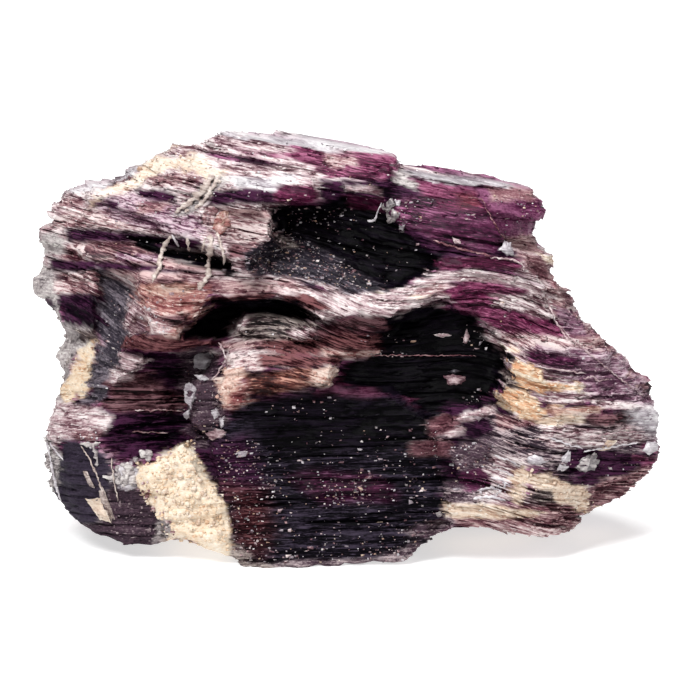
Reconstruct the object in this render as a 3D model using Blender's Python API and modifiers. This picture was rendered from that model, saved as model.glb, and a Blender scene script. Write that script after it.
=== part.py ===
"""A hand specimen of lepidolite, the lilac lithium mica: one broken lump of flat mica books.

The lump is described as it looks from the front and a little above. In that view a point has
three sizes in millimetres: across (to the right), rise (up the view) and depth (away from the
viewer). The outline and every broken face are given in those sizes. The books of mica lie
almost level, so the lump is stepped into ledges that follow their bedding all the way round.
"""

import math
from collections import namedtuple

import bmesh
import bpy
import numpy as np
from mathutils import Vector, noise

MM = 0.001
VIEW_TILT = math.radians(12.0)
TILT_SIN = math.sin(VIEW_TILT)
TILT_COS = math.cos(VIEW_TILT)

VIEW_MIDDLE = (0.0, 27.0)
BLANK_CUTS = 95
FLANK_POWER = 8
# The underside goes this far back for each millimetre of rise, so it is all but level.
UNDERSIDE_RUN = 5.3
UNDERSIDE_TOP = 9
# How much of the lowest bulge the flat foot takes off.
FOOT_CUT = 0.3
VOXEL = 0.55 * MM
DECIMATED_TRIANGLES = 9300
CUTTER_SIDE = 200 * MM

# How far the edges of the faces stray from their straight sides, and over what length.
FRONT_WANDER = (0.45, 2.6)
BACK_WANDER = (1.7, 7.0)
ROUGHNESS = 0.35
ROUGHNESS_SCALE = 4.0

# Thickness of a book, how far its edge stands in or out, and the length of its broken stretches.
# The inset is how far back the books have crumbled on the whole.
LEDGES = ((4.6, 1.2, 15.0), (1.9, 0.8, 7.0))
LEDGE_INSET = 0.35
# The share of that reach which the back has more of, because it was broken and never trimmed.
BACK_RAGGEDNESS = 0.9
# The faces that cleaved clean across the books, and the share of the reach that is left there.
CLEAVED_FACES = ("great dark cleavage face", "lower hollow wall", "upper hollow wall")
CLEAVED_RELIEF = 0.3
CLEAVED_EDGE = 1.5

# Across, rise and depth of the lump's edge, clockwise from the top plate's left end.
OUTLINE = (
    (-20.3, 57.2, 0), (-19.5, 58.2, 2), (-14, 58.1, 5), (-6, 57.6, 6), (0, 56.8, 6),
    (5, 55.6, 4), (7.1, 54.2, 2), (7.3, 53.8, 8), (10, 53.5, 9), (15, 53, 9),
    (20, 52, 8), (24.5, 50.8, 6), (26.6, 50, 4), (27.4, 48.2, 2), (27.8, 46, 1),
    (27, 43.7, 3), (27.8, 42.4, 4), (27.9, 41.4, 4), (28.3, 40.2, 4), (28.5, 38, 4),
    (30.3, 36.2, 4), (33, 33.4, 5), (35.2, 30.5, 6), (38, 27.8, 6), (41, 24.8, 6),
    (43, 22.5, 5), (43.2, 20.5, 3), (44, 18.6, 1), (45, 17.5, -1), (45, 16, -2),
    (44.4, 13, -3), (43, 9.5, -3.5), (41.3, 8.3, -4), (40, 6.8, -5), (37.5, 5.6, -6),
    (34.8, 4.4, -8), (33.5, 2.6, -10), (31, 1, -13), (28, 0.5, -16), (22, 1, -18.5),
    (18, 2, -18.5), (15, 1.9, -18), (12, 0.6, -17.5), (10.3, -1, -17), (8, -2.7, -17.5),
    (3, -3.1, -17.8), (-5, -3.8, -19), (-12, -4.2, -20.2), (-15.5, -3.8, -19),
    (-17, -2.3, -17), (-20, -1, -16.5), (-23.5, 0, -16), (-26, 0, -15.5), (-28, -0.5, -15),
    (-32, -0.3, -14.5), (-36, 0.8, -12), (-40, 3, -8), (-42.2, 5.3, -5), (-43.5, 9.5, -3),
    (-44, 15, -2), (-43, 17.5, -1), (-41.8, 19.6, 0), (-42.8, 20.5, 0), (-42.2, 23.3, 1),
    (-43.2, 25, 0), (-42.2, 27.5, 1), (-41.6, 29.6, 2), (-43, 31.5, 0), (-44.6, 34.2, -1),
    (-44.9, 37, -1), (-43.7, 39.8, 1), (-44, 42.5, 0), (-43.3, 45.2, 1), (-43.2, 47, 1),
    (-41.6, 49.8, 4), (-39, 50.8, 6), (-34.8, 51.6, 6), (-33, 52.8, 5), (-29, 54, 4),
    (-25, 56, 3), (-21.5, 56.8, 2),
)

# A broken face: its outline in across and rise, a point on it, the depth there, how much the
# depth grows for each millimetre across and for each millimetre of rise, and its edge's softness.
Face = namedtuple("Face", "name outline point depth lean soft")

FRONT_FACES = (
    Face("upper left layered shoulder",
         ((-46, 53), (-33, 54), (-20, 59), (-18, 52), (-12, 48), (-10.5, 42), (-14, 37),
          (-30, 37), (-46, 40)), (-27, 44), -13, (-0.5, 0.35), 1.0),
    Face("left upper nose",
         ((-46, 47.6), (-41, 47.8), (-36, 45.6), (-35, 44.2), (-41, 44), (-46, 44.8)),
         (-41, 46), -7.8, (-0.6, 0.5), 0.5),
    Face("cream slope",
         ((-38, 49), (-34.5, 52), (-29, 56), (-20.8, 59), (-20.5, 54.5), (-28, 51.6),
          (-37, 47.6)), (-29, 52), -8.5, (-0.2, 1.3), 0.6),
    Face("top left plate",
         ((-45, 49.3), (-38, 49.4), (-34.8, 50.6), (-34, 53), (-45, 53)),
         (-38, 50), -3, (-0.2, 4), 0.3),
    Face("slot under the shoulder",
         ((-32, 43.4), (-26, 42.8), (-20, 41.4), (-16, 39.4), (-17.5, 37.4), (-21, 38.6),
          (-27, 40.2), (-32, 41.8)), (-24, 41), -10.8, (-0.2, 0), 0.5),
    Face("pink layered block",
         ((-20, 47.6), (-16.5, 46.8), (-11.6, 46.7), (-10.6, 44.5), (-10.5, 41.8),
          (-14, 41.6), (-18, 42.6), (-20.5, 44.6)), (-14, 44), -15.2, (-0.1, 0.3), 0.3),
    Face("top plate edge",
         ((-21, 60), (8, 58), (7, 54), (6.5, 52.5), (5, 51), (-4, 50.5), (-18, 51.5),
          (-22, 54)), (-5, 53), -9, (0, 0.3), 0.7),
    Face("top plate upper side",
         ((-19.6, 57.4), (0, 55.2), (4.8, 55.05), (8, 54.4), (8, 60), (-19.6, 61)),
         (0, 55.2), -9, (1.0, 9), 0.15),
    Face("upper right face",
         ((5, 52), (12, 51.2), (18, 50.6), (22.2, 42.8), (24.5, 39.5), (15, 39.5), (8, 42),
          (2, 46), (-5, 48.5), (-4, 50.5)), (14, 45), -9.5, (0.05, 0.25), 0.5),
    Face("right block",
         ((18.4, 51), (26.8, 50.6), (29, 46), (26.5, 43.4), (22.3, 42.8), (20.4, 46),
          (18.9, 48.6)), (24, 47), -5, (0.5, 0.1), 0.35),
    Face("second plate upper side",
         ((7.3, 52.5), (12, 51.1), (20, 50.3), (26.6, 49.8), (28, 54), (7.3, 57)),
         (16, 50.6), -9, (1.1, 9), 0.15),
    Face("upper hollow wall",
         ((-10.5, 47.3), (-4, 48), (3, 48.5), (5, 46), (9, 43), (12, 40), (10, 37.8),
          (5, 35), (0, 35.6), (-4, 38), (-9, 41), (-10.5, 43)), (0, 42), -5.5, (-0.36, 0.1), 0.7),
    Face("upper hollow floor",
         ((-11, 42), (-3, 40), (3, 37.5), (6, 35.2), (0, 35), (-7, 37), (-14, 39.5)),
         (-3, 38.5), -9.5, (0.2, 1.2), 0.8),
    Face("right side under the ridge",
         ((12, 35), (20, 37), (27.8, 36), (29, 31.5), (31, 28.5), (33, 27), (26, 26),
          (21, 27.5), (18, 31), (14, 33)), (23, 31.5), -12, (0.55, 0.2), 0.7),
    Face("stepped slope, front plate",
         ((22.3, 42.8), (24.6, 39.8), (20, 38), (15, 38.5), (16, 40.5)),
         (20, 40), -10.5, (0.3, 0.4), 0.4),
    Face("stepped slope, rear stack",
         ((22.5, 43), (30, 44), (30, 37.5), (27.9, 35.8), (25, 39.6)),
         (27, 40), -2, (0.3, 0), 0.35),
    Face("stepped slope, middle plate",
         ((27.8, 37), (30, 35), (34, 30.8), (38, 26.6), (33, 27), (31, 28.4), (29.2, 31.3),
          (28, 35)), (31, 31.5), -6, (0.4, 0.1), 0.35),
    Face("stepped slope, last plate",
         ((28.4, 38), (38, 38), (46, 24), (43.8, 18.9), (41.3, 22.3), (37.8, 26.6),
          (34.2, 30.4), (30, 35)), (36, 29), -1, (0.1, 0), 0.35),
    Face("lower hollow wall",
         ((3, 31.5), (8, 32.3), (13, 34), (18, 31.5), (20, 28.5), (22, 26), (21.5, 23),
          (19, 19.5), (16, 18.5), (12, 17.5), (8, 20), (0, 22), (-2, 22.5), (-2, 25),
          (2, 27), (5, 29)), (12, 26), -11, (0, 0.35), 1.0),
    Face("wavy layers",
         ((-6, 29), (-2, 31), (2, 31.8), (7, 31), (4, 28.5), (3, 27), (-2, 25.5), (-6, 26)),
         (-1, 28.5), -14.5, (0.1, 0.5), 0.6),
    Face("great dark cleavage face",
         ((-21, 16), (-14, 21.5), (-8, 22), (-2, 22), (6, 21), (12, 17), (13, 12),
          (13.5, 5), (12, 1), (11, -6), (-20, -6), (-17, -2), (-18, 4), (-20, 8.5)),
         (-3, 9), -18.5, (0, 0.1), 0.9),
    Face("ridge",
         ((-30, 38.5), (-20, 38.2), (-12, 37.8), (-8, 38), (-4, 36), (0, 35.3), (5, 34.9),
          (8, 36), (12, 37.8), (16, 38.8), (20, 38.5), (25, 37.6), (28.4, 35.4),
          (28, 34.6), (22, 35.6), (16, 36), (12, 34.2), (8, 32.5), (5, 31.2), (2, 32),
          (-2, 31.3), (-4.5, 30.8), (-8, 33), (-12, 33.8), (-20, 34), (-26, 33.5),
          (-30, 34.5)), (0, 33.5), -15.5, (0.12, 0.5), 0.4),
    Face("slot over the upper lens",
         ((-15.5, 33.8), (-11, 34), (-7, 33.2), (-4.5, 31), (-9, 31.6), (-15, 32)),
         (-10, 33), -10.5, (0, 0), 0.3),
    Face("upper lens",
         ((-16.5, 31.5), (-12, 31.9), (-8, 31.2), (-4.5, 30.4), (-3, 29), (-7, 27.6),
          (-12, 28), (-16, 28.5)), (-10, 30), -16.5, (0, 0.8), 0.35),
    Face("lower lens",
         ((-18.6, 27.6), (-14, 28), (-8, 27.1), (-3, 26), (-8, 25), (-12, 24.5), (-17.5, 25)),
         (-11, 26), -18.5, (0, 0.9), 0.35),
    Face("orange ledge",
         ((-19.5, 20), (-18.5, 24.7), (-14, 25.2), (-8, 26), (-3, 25.5), (-1.8, 24.5),
          (-2.2, 22.5), (-4, 21.6), (-9, 21.3), (-13.8, 21.1), (-14.2, 19.2), (-18, 18.8)),
         (-9, 23), -20.3, (0, 0.3), 0.3),
    Face("pink block",
         ((-30, 35.8), (-28, 36.4), (-22, 36.2), (-20.4, 34.6), (-20.2, 33.5), (-21, 32.4),
          (-23, 30.5), (-25, 28.6), (-27.5, 28.6), (-29, 31), (-30, 33)),
         (-26, 32.5), -17.5, (0.15, 0.3), 0.4),
    Face("black pocket",
         ((-20.3, 33.5), (-16, 33.3), (-15.3, 31.5), (-17.3, 28.6), (-24.6, 28.7),
          (-22.5, 30.5), (-21, 32)), (-19, 31), -6.5, (0, 0), 0.35),
    Face("dark slab",
         ((-35, 39), (-30, 36.5), (-30.6, 33), (-32, 29), (-33.5, 24), (-35, 20),
          (-38.7, 19.5), (-37, 24), (-36.2, 29), (-35.8, 34)),
         (-34.5, 28), -9.5, (-1.1, 0.1), 0.4),
    Face("notch over the slab",
         ((-36, 38), (-32, 38), (-30.5, 35.5), (-33, 33), (-36, 31)), (-34, 35), -8, (0, 0), 0.8),
    Face("left cheek",
         ((-47, 40), (-36, 38), (-35.5, 31), (-36, 29.5), (-41, 30.5), (-47, 32)),
         (-39, 34), -9.5, (-0.5, 0.1), 0.5),
    Face("left pocket",
         ((-46, 31), (-41, 30.2), (-36.2, 29), (-37, 23), (-39, 19.6), (-46, 19)),
         (-40, 25), -4.5, (-0.35, 0), 0.6),
    Face("left hollow wall",
         ((-33, 26.5), (-19.5, 26.8), (-22.5, 20), (-22.5, 14.5), (-27, 12.5), (-35, 14.5),
          (-38, 17), (-36, 20), (-34, 23)), (-28, 20), -9, (0.4, 0.12), 0.7),
    Face("red ledge",
         ((-32, 29.4), (-24, 28.7), (-18.5, 28.3), (-18.3, 27.7), (-22, 26.9), (-28, 26.8),
          (-33, 27.3)), (-25, 28), -15.8, (0.05, 0.3), 0.3),
    Face("small pale ledges",
         ((-33.8, 26.8), (-30, 26.6), (-27.8, 25.3), (-31, 23.6), (-33.8, 22.4)),
         (-32, 25), -13.8, (0.1, 0.5), 0.35),
    Face("crumbly spine",
         ((-23, 22), (-20, 24), (-18.6, 20), (-18.2, 16), (-19.5, 13.5), (-22.5, 14.5),
          (-23, 18)), (-21, 19), -15, (0, 0.1), 0.6),
    Face("lower left shoulder",
         ((-46, 18.2), (-38, 19.5), (-34, 17.8), (-33, 15.6), (-38, 14), (-46, 14.2)),
         (-39, 16.5), -11.5, (-0.35, 1.1), 0.5),
    Face("lower left face",
         ((-46, 14.5), (-38, 14), (-36, 13.4), (-32, 11), (-31, 5), (-27, -3), (-36, -3),
          (-43, 3), (-46, 9)), (-37, 7), -14.5, (-0.45, 0.08), 0.6),
    Face("bank beside the cream lump",
         ((-33.5, 11), (-30, 9), (-28.6, 6), (-26, -3), (-34, -3), (-32.6, 5)),
         (-30, 4), -16.6, (-0.1, 0.1), 0.6),
    Face("right lower mass, inner",
         ((11, 15.5), (14, 18), (19, 19), (22, 17.5), (30, 16), (31, -1), (20, -1),
          (13.6, 1.5), (13.4, 10)), (22, 9), -20, (0.12, 0.15), 0.8),
    Face("right lower mass, outer",
         ((29, 16.5), (42, 18.4), (48, 17), (45, 8), (35, 2), (29, -2)),
         (30, 9), -18.5, (0.8, 0.15), 1.4),
    Face("cream bank",
         ((21, 27), (24, 26.4), (28, 24.8), (33, 22.6), (34, 20), (36.5, 18.6), (30, 16.4),
          (22, 17), (20.4, 20.5), (22, 24)), (26, 21), -16.8, (0.45, 0.4), 0.7),
    Face("lower slope",
         ((24, 27.4), (33, 27.6), (38, 26.4), (41.4, 22.3), (44.3, 18.5), (36, 18.6),
          (33, 22), (28, 25)), (35, 23), -11, (0.7, 0.3), 0.5),
    Face("cream shelf",
         ((13.2, 5.4), (20, 5.1), (27, 3.9), (31, 3.6), (28, 2.8), (18, 3), (13.8, 3.4)),
         (20, 4), -21.3, (0.12, 0.2), 0.3),
    Face("cream lump",
         ((-30.8, 12.6), (-27, 12.7), (-23.5, 14.2), (-21.5, 12.4), (-20.4, 8), (-18.4, 6),
          (-18, 2), (-16.6, -2), (-20, -3), (-24, 0.4), (-28, 3), (-29, 6.5), (-31, 9)),
         (-24, 6), -19.2, (0.08, 0.3), 0.8),
    Face("cream nub",
         ((-33.4, 9), (-32.8, 10.6), (-31.2, 11), (-30, 9.6), (-30.6, 7.8), (-32.6, 7.4)),
         (-32, 9.4), -16.8, (0, 0.2), 0.5),
)

BACK_FACES = (
    Face("back upper wall",
         ((-50, 60), (50, 60), (50, 38), (10, 36), (-10, 38), (-50, 35)),
         (-5, 46), 17, (0.02, -0.45), 1.2),
    Face("back lower wall",
         ((-50, 36), (-10, 38), (12, 36), (50, 37), (50, -10), (-50, -10)),
         (0, 22), 21.5, (-0.06, 0.03), 1.0),
    Face("back left block",
         ((-50, 40), (-27, 38), (-17, 33), (-19, 24), (-29, 20), (-50, 17)),
         (-30, 28), 17.5, (0.36, -0.12), 0.6),
    Face("back left foot",
         ((-50, 20), (-29, 21), (-20, 15), (-24, 9), (-50, 6)), (-30, 15), 19.5, (0.5, 0.1), 0.6),
    Face("back long recess",
         ((-13, 29), (-4, 33.5), (9, 32.6), (14, 30.4), (24, 29.4), (25, 25.4), (16, 24.6),
          (4, 21.6), (-7, 23.4), (-14, 25.5)), (6, 27), 17, (0.08, -0.35), 0.6),
    Face("back book",
         ((-10, 23.6), (4, 21.8), (15, 22.4), (13, 17.6), (1, 16.4), (-11, 18)),
         (2, 20), 23.2, (0.12, -0.3), 0.4),
    Face("back shelf",
         ((-17, 15), (-5, 14.6), (8, 12.6), (19, 13.2), (27, 10), (25, 3), (-16, 2)),
         (5, 10), 24, (-0.05, -0.35), 0.5),
    Face("back right plates",
         ((25, 34), (38, 31), (50, 24), (50, 8), (30, 9), (24, 20)),
         (32, 20), 17, (-0.55, -0.25), 0.6),
    Face("back right ledge",
         ((27, 21), (36, 20), (50, 19), (50, 14), (34, 13.4), (26, 15)),
         (32, 17), 18.5, (-0.5, -0.5), 0.35),
    Face("back upper step",
         ((-36, 53), (-14, 56), (2, 55), (4, 50), (-5, 47.6), (-16, 47), (-30, 44)),
         (-14, 50), 14.5, (0.05, -0.6), 0.5),
    Face("back right step",
         ((5, 47), (12, 45.4), (30, 45), (30, 39), (16, 38), (7, 41)),
         (18, 42), 20, (-0.2, -0.5), 0.5),
)


def smooth_step(low, high, value):
    """0 below low, 1 above high, and a smooth rise between them."""
    share = np.clip((value - low) / (high - low), 0, 1)
    return share * share * (3 - 2 * share)


def inside_distance(points, outline):
    """How far each point is inside a closed outline, negative outside it."""
    corners = np.array(outline, float)
    nearest = np.full(len(points), np.inf)
    inside = np.zeros(len(points), bool)
    for start, end in zip(corners, np.roll(corners, -1, axis=0)):
        edge = end - start
        along = np.clip(((points - start) @ edge) / (edge @ edge), 0, 1)
        gap = points - (start + along[:, None] * edge)
        nearest = np.minimum(nearest, np.hypot(gap[:, 0], gap[:, 1]))
        spans = (start[1] > points[:, 1]) != (end[1] > points[:, 1])
        if start[1] != end[1]:
            crossing = start[0] + (points[:, 1] - start[1]) * edge[0] / edge[1]
            inside ^= spans & (points[:, 0] < crossing)
    return np.where(inside, nearest, -nearest)


def noise_at(points, scale, seed):
    """Smooth noise from -1 to 1 at each three-number point, with lumps about `scale` across."""
    offset = Vector((seed * 17.3, seed * -9.1, seed * 5.7))
    return np.array([noise.noise(Vector(p) / scale + offset) for p in points])


def to_world(across, rise, depth):
    """World millimetres of a point given by the front view's three sizes."""
    return np.stack(
        (across, rise * TILT_SIN + depth * TILT_COS, rise * TILT_COS - depth * TILT_SIN), axis=1
    )


def to_view(points):
    """Across, rise and depth in the front view of world millimetres."""
    across, back, height = points.T
    return across, back * TILT_SIN + height * TILT_COS, back * TILT_COS - height * TILT_SIN


def paint_faces(faces, wander, points, depth):
    """Lays each broken face over the depth so far, in order, with edges that wander a little."""
    reach, length = wander
    flat = np.column_stack((points, np.zeros(len(points))))
    stray = np.column_stack((noise_at(flat, length, 1), noise_at(flat, length, 2)))
    strayed = points + reach * stray
    for face in faces:
        share = smooth_step(-face.soft, face.soft, inside_distance(strayed, face.outline))
        plane = (
            face.depth
            + face.lean[0] * (points[:, 0] - face.point[0])
            + face.lean[1] * (points[:, 1] - face.point[1])
        )
        depth = depth + (plane - depth) * share
    return depth + ROUGHNESS * noise_at(flat, ROUGHNESS_SCALE, 3)


def outline_at(angle):
    """Across, rise and depth of the outline in each direction from the view's middle."""
    edge = np.array(OUTLINE, float)
    bearing = np.arctan2(edge[:, 1] - VIEW_MIDDLE[1], edge[:, 0] - VIEW_MIDDLE[0])
    order = np.argsort(bearing)
    return [
        np.interp(angle, bearing[order], edge[order, column], period=2 * math.pi)
        for column in range(3)
    ]


def underside_depth(points):
    """Where each line of sight leaves through the underside, which runs back from the lower edge."""
    edge = np.array(OUTLINE, float)
    lower = edge[edge[:, 1] < UNDERSIDE_TOP]
    lower = lower[np.argsort(lower[:, 0])]
    rim_rise = np.interp(points[:, 0], lower[:, 0], lower[:, 1])
    rim_depth = np.interp(points[:, 0], lower[:, 0], lower[:, 2])
    return rim_depth + UNDERSIDE_RUN * (points[:, 1] - rim_rise)


def strata_height(points):
    """Height in the pile of mica books, whose bedding dips right and back and is folded mid-way."""
    across, back, height = points.T
    upper = smooth_step(18, 42, height)
    dip = 0.19 * upper - 0.02 * (1 - upper) + 0.14 * smooth_step(14, 28, across) * (1 - upper)
    fold = 1.7 * np.cos((across - 19) * 2 * math.pi / 30) * np.exp(-(((height - 33) / 7) ** 2))
    return height + dip * across + 0.1 * back - fold


def blank_mesh():
    """A cube rounded into a ball and pulled out to the outline, with its broken faces laid in."""
    mesh = bpy.data.meshes.new("blank")
    cage = bmesh.new()
    bmesh.ops.create_cube(cage, size=2)
    bmesh.ops.subdivide_edges(cage, edges=cage.edges, cuts=BLANK_CUTS, use_grid_fill=True)
    cage.to_mesh(mesh)
    cage.free()

    ball = np.empty(len(mesh.vertices) * 3)
    mesh.vertices.foreach_get("co", ball)
    ball = np.tan(ball.reshape(-1, 3) * math.pi / 4)
    ball /= np.linalg.norm(ball, axis=1, keepdims=True)

    share = np.minimum(np.hypot(ball[:, 0], ball[:, 2]), 1)
    rim = outline_at(np.arctan2(ball[:, 2], ball[:, 0]))
    points = np.column_stack(
        [VIEW_MIDDLE[i] + share * (rim[i] - VIEW_MIDDLE[i]) for i in (0, 1)]
    )
    flank = np.sqrt(np.maximum(1 - share**FLANK_POWER, 0))
    front = paint_faces(FRONT_FACES, FRONT_WANDER, points, np.full(len(points), -12.0))
    back = paint_faces(BACK_FACES, BACK_WANDER, points, np.full(len(points), 18.0))
    underside = underside_depth(points)
    front = np.minimum(front, np.minimum(back, underside) - 1)
    front_depth = rim[2] + (front - rim[2]) * flank
    back_depth = np.minimum(rim[2] + (back - rim[2]) * flank, underside)
    depth = np.where(ball[:, 1] < 0, np.minimum(front_depth, back_depth), back_depth)

    world = to_world(points[:, 0], points[:, 1], depth) * MM
    mesh.vertices.foreach_set("co", world.ravel())
    mesh.update()
    return mesh


def remeshed(mesh):
    """The mesh rebuilt from even voxels, so that steep faces have as many points as flat ones."""
    helper = bpy.data.objects.new("voxel_helper", mesh)
    bpy.context.scene.collection.objects.link(helper)
    remesh = helper.modifiers.new("voxels", "REMESH")
    remesh.mode = "VOXEL"
    remesh.voxel_size = VOXEL
    graph = bpy.context.evaluated_depsgraph_get()
    even = bpy.data.meshes.new_from_object(helper.evaluated_get(graph))
    bpy.data.objects.remove(helper)
    return even


def ledge_share(points):
    """How much of their full reach the ledges have: more at the back, less on cleaved faces."""
    across, rise, depth = to_view(points)
    share = 1 + BACK_RAGGEDNESS * smooth_step(0, 12, points[:, 1])
    for face in FRONT_FACES:
        if face.name in CLEAVED_FACES:
            inside = inside_distance(np.column_stack((across, rise)), face.outline)
            cleaved = smooth_step(0, CLEAVED_EDGE, inside) * (depth < 0)
            share *= 1 + (CLEAVED_RELIEF - 1) * cleaved
    return share


def cut_ledges(mesh):
    """Moves each point in or out, level with the bedding, by a step that its mica book sets."""
    points = np.empty(len(mesh.vertices) * 3)
    normals = np.empty(len(mesh.vertices) * 3)
    mesh.vertices.foreach_get("co", points)
    mesh.vertex_normals.foreach_get("vector", normals)
    points = points.reshape(-1, 3) / MM
    normals = normals.reshape(-1, 3)
    level = normals * (1, 1, 0)
    height = strata_height(points)
    push = np.full(len(points), -LEDGE_INSET)
    for seed, (thickness, reach, stretch) in enumerate(LEDGES, start=10):
        book = height / thickness
        inner = np.floor(book)
        places = np.column_stack((points[:, :2] / stretch, inner * 3.7))
        push += reach * noise_at(places, 1.0, seed)
    points += level * (push * ledge_share(points))[:, None]
    mesh.vertices.foreach_set("co", (points * MM).ravel())
    mesh.update()


def lilac_mica():
    """The mica's own colour: a deep purple with a soft pearly gloss."""
    material = bpy.data.materials.new("lepidolite")
    material.use_nodes = True
    shader = material.node_tree.nodes["Principled BSDF"]
    shader.inputs["Base Color"].default_value = (0.14, 0.05, 0.11, 1)
    shader.inputs["Roughness"].default_value = 0.45
    shader.inputs["Metallic"].default_value = 0
    material.diffuse_color = (0.14, 0.05, 0.11, 1)
    return material


def collection(name):
    """A new collection in the scene."""
    made = bpy.data.collections.new(name)
    bpy.context.scene.collection.children.link(made)
    return made


def floor_cutter(home):
    """A block whose upper side is the surface that the specimen stands on."""
    mesh = bpy.data.meshes.new("floor_cutter")
    block = bmesh.new()
    bmesh.ops.create_cube(block, size=CUTTER_SIDE)
    bmesh.ops.translate(block, verts=block.verts, vec=(0, 0, -CUTTER_SIDE / 2))
    block.to_mesh(mesh)
    block.free()
    cutter = bpy.data.objects.new("floor_cutter", mesh)
    cutter.hide_render = True
    cutter.display_type = "WIRE"
    home.objects.link(cutter)
    return cutter


def centre_footprint(mesh):
    """Moves the middle of the lump's footprint over the origin, and its foot's face to the floor."""
    points = np.empty(len(mesh.vertices) * 3)
    mesh.vertices.foreach_get("co", points)
    points = points.reshape(-1, 3)
    middle = (points.min(axis=0) + points.max(axis=0)) / 2
    points -= (middle[0], middle[1], FOOT_CUT * MM)
    mesh.vertices.foreach_set("co", points.ravel())
    mesh.update()


def build():
    """The whole specimen, one solid that stands on its flat foot."""
    for old in list(bpy.data.objects):
        bpy.data.objects.remove(old)
    specimens = collection("lepidolite_specimen")
    cutters = collection("cutters")

    mesh = remeshed(blank_mesh())
    cut_ledges(mesh)
    centre_footprint(mesh)
    mesh.materials.append(lilac_mica())
    specimen = bpy.data.objects.new("lepidolite", mesh)
    specimens.objects.link(specimen)

    fewer = specimen.modifiers.new("fewer_faces", "DECIMATE")
    mesh.calc_loop_triangles()
    fewer.ratio = DECIMATED_TRIANGLES / len(mesh.loop_triangles)
    foot = specimen.modifiers.new("flat_foot", "BOOLEAN")
    foot.operation = "DIFFERENCE"
    foot.object = floor_cutter(cutters)


build()
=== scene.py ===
"""The looks of a lepidolite hand specimen: a lump of lilac mica books, frayed sheets and crumbs.

Places on the specimen are given as its front view shows them, in millimetres: across (to the
right), rise (up the view) and depth (away from the viewer), as its solid was laid out.
"""

import math
from collections import namedtuple

import bmesh
import bpy
import numpy as np
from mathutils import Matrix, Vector
from mathutils.bvhtree import BVHTree


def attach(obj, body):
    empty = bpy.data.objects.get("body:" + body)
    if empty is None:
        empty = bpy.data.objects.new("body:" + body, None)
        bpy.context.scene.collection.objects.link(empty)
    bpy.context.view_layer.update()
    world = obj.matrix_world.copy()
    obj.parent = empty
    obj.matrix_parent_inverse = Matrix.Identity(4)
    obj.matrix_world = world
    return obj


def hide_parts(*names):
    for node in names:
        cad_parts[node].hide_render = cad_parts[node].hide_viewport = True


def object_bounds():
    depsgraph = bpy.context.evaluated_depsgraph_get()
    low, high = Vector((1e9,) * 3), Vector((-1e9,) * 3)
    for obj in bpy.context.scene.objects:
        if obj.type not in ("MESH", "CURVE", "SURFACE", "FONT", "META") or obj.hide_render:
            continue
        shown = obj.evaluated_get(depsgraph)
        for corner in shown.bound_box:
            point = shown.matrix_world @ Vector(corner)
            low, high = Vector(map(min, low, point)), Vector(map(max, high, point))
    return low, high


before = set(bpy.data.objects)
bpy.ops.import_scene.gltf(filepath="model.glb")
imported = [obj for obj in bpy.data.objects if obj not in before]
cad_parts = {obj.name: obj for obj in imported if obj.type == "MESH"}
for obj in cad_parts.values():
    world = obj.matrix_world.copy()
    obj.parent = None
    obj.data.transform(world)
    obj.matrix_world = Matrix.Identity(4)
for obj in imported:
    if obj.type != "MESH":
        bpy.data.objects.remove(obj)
cad_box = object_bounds()

MM = 0.001
VIEW_TILT = math.radians(12.0)
TILT_SIN = math.sin(VIEW_TILT)
TILT_COS = math.cos(VIEW_TILT)
# Where the front view's zero point lies in the specimen's own frame, in millimetres.
VIEW_ZERO = np.array((0.35, -4.95, -0.3))
# The camera's picture: its middle in across and rise, and its width and distance in metres.
VIEW_MIDDLE = (0.0, 27.0)
VIEW_WIDTH = 0.1
CAMERA_DISTANCE = 2.0
SENSOR_WIDTH = 36.0

# The longest edges of the solid's mesh before it is cut into layers, on the front, where it is
# crumbly, and behind, and how often longer ones are halved.
EDGE_FRONT = 1.3
EDGE_CRUMBLY = 0.8
EDGE_BEHIND = 2.6
EDGE_ROUNDS = 2
# The amounts of crumbs between which a place becomes crumbly.
CRUMBLY_RANGE = (0.2, 0.5)
# The depths between which the front's colours give way to the back's.
FRONT_DEPTH = (0.0, 9.0)
# The body is a front and a back piece that meet at this depth.
SEAM_DEPTH = 12.0
# The most triangles a piece of the body may have.
PIECE_TRIANGLES = 197_000

# The mica's layers: their usual thickness and its spread, and how often a layer is the last one of
# a book, of a part of a book and of itself.
LAYER_THICKNESS = 0.4
LAYER_SPREAD = 0.5
BOOK_ENDS = (0.12, 0.35, 1.0)
# The lowest and the highest place in the pile that the layers fill.
PILE_SPAN = (-20.0, 90.0)
# How many places on the body are tried for torn scales.
SPLINTERS = 22_000
# Half the height of the step from one layer to the next.
STEP_HALF = 0.02

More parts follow.
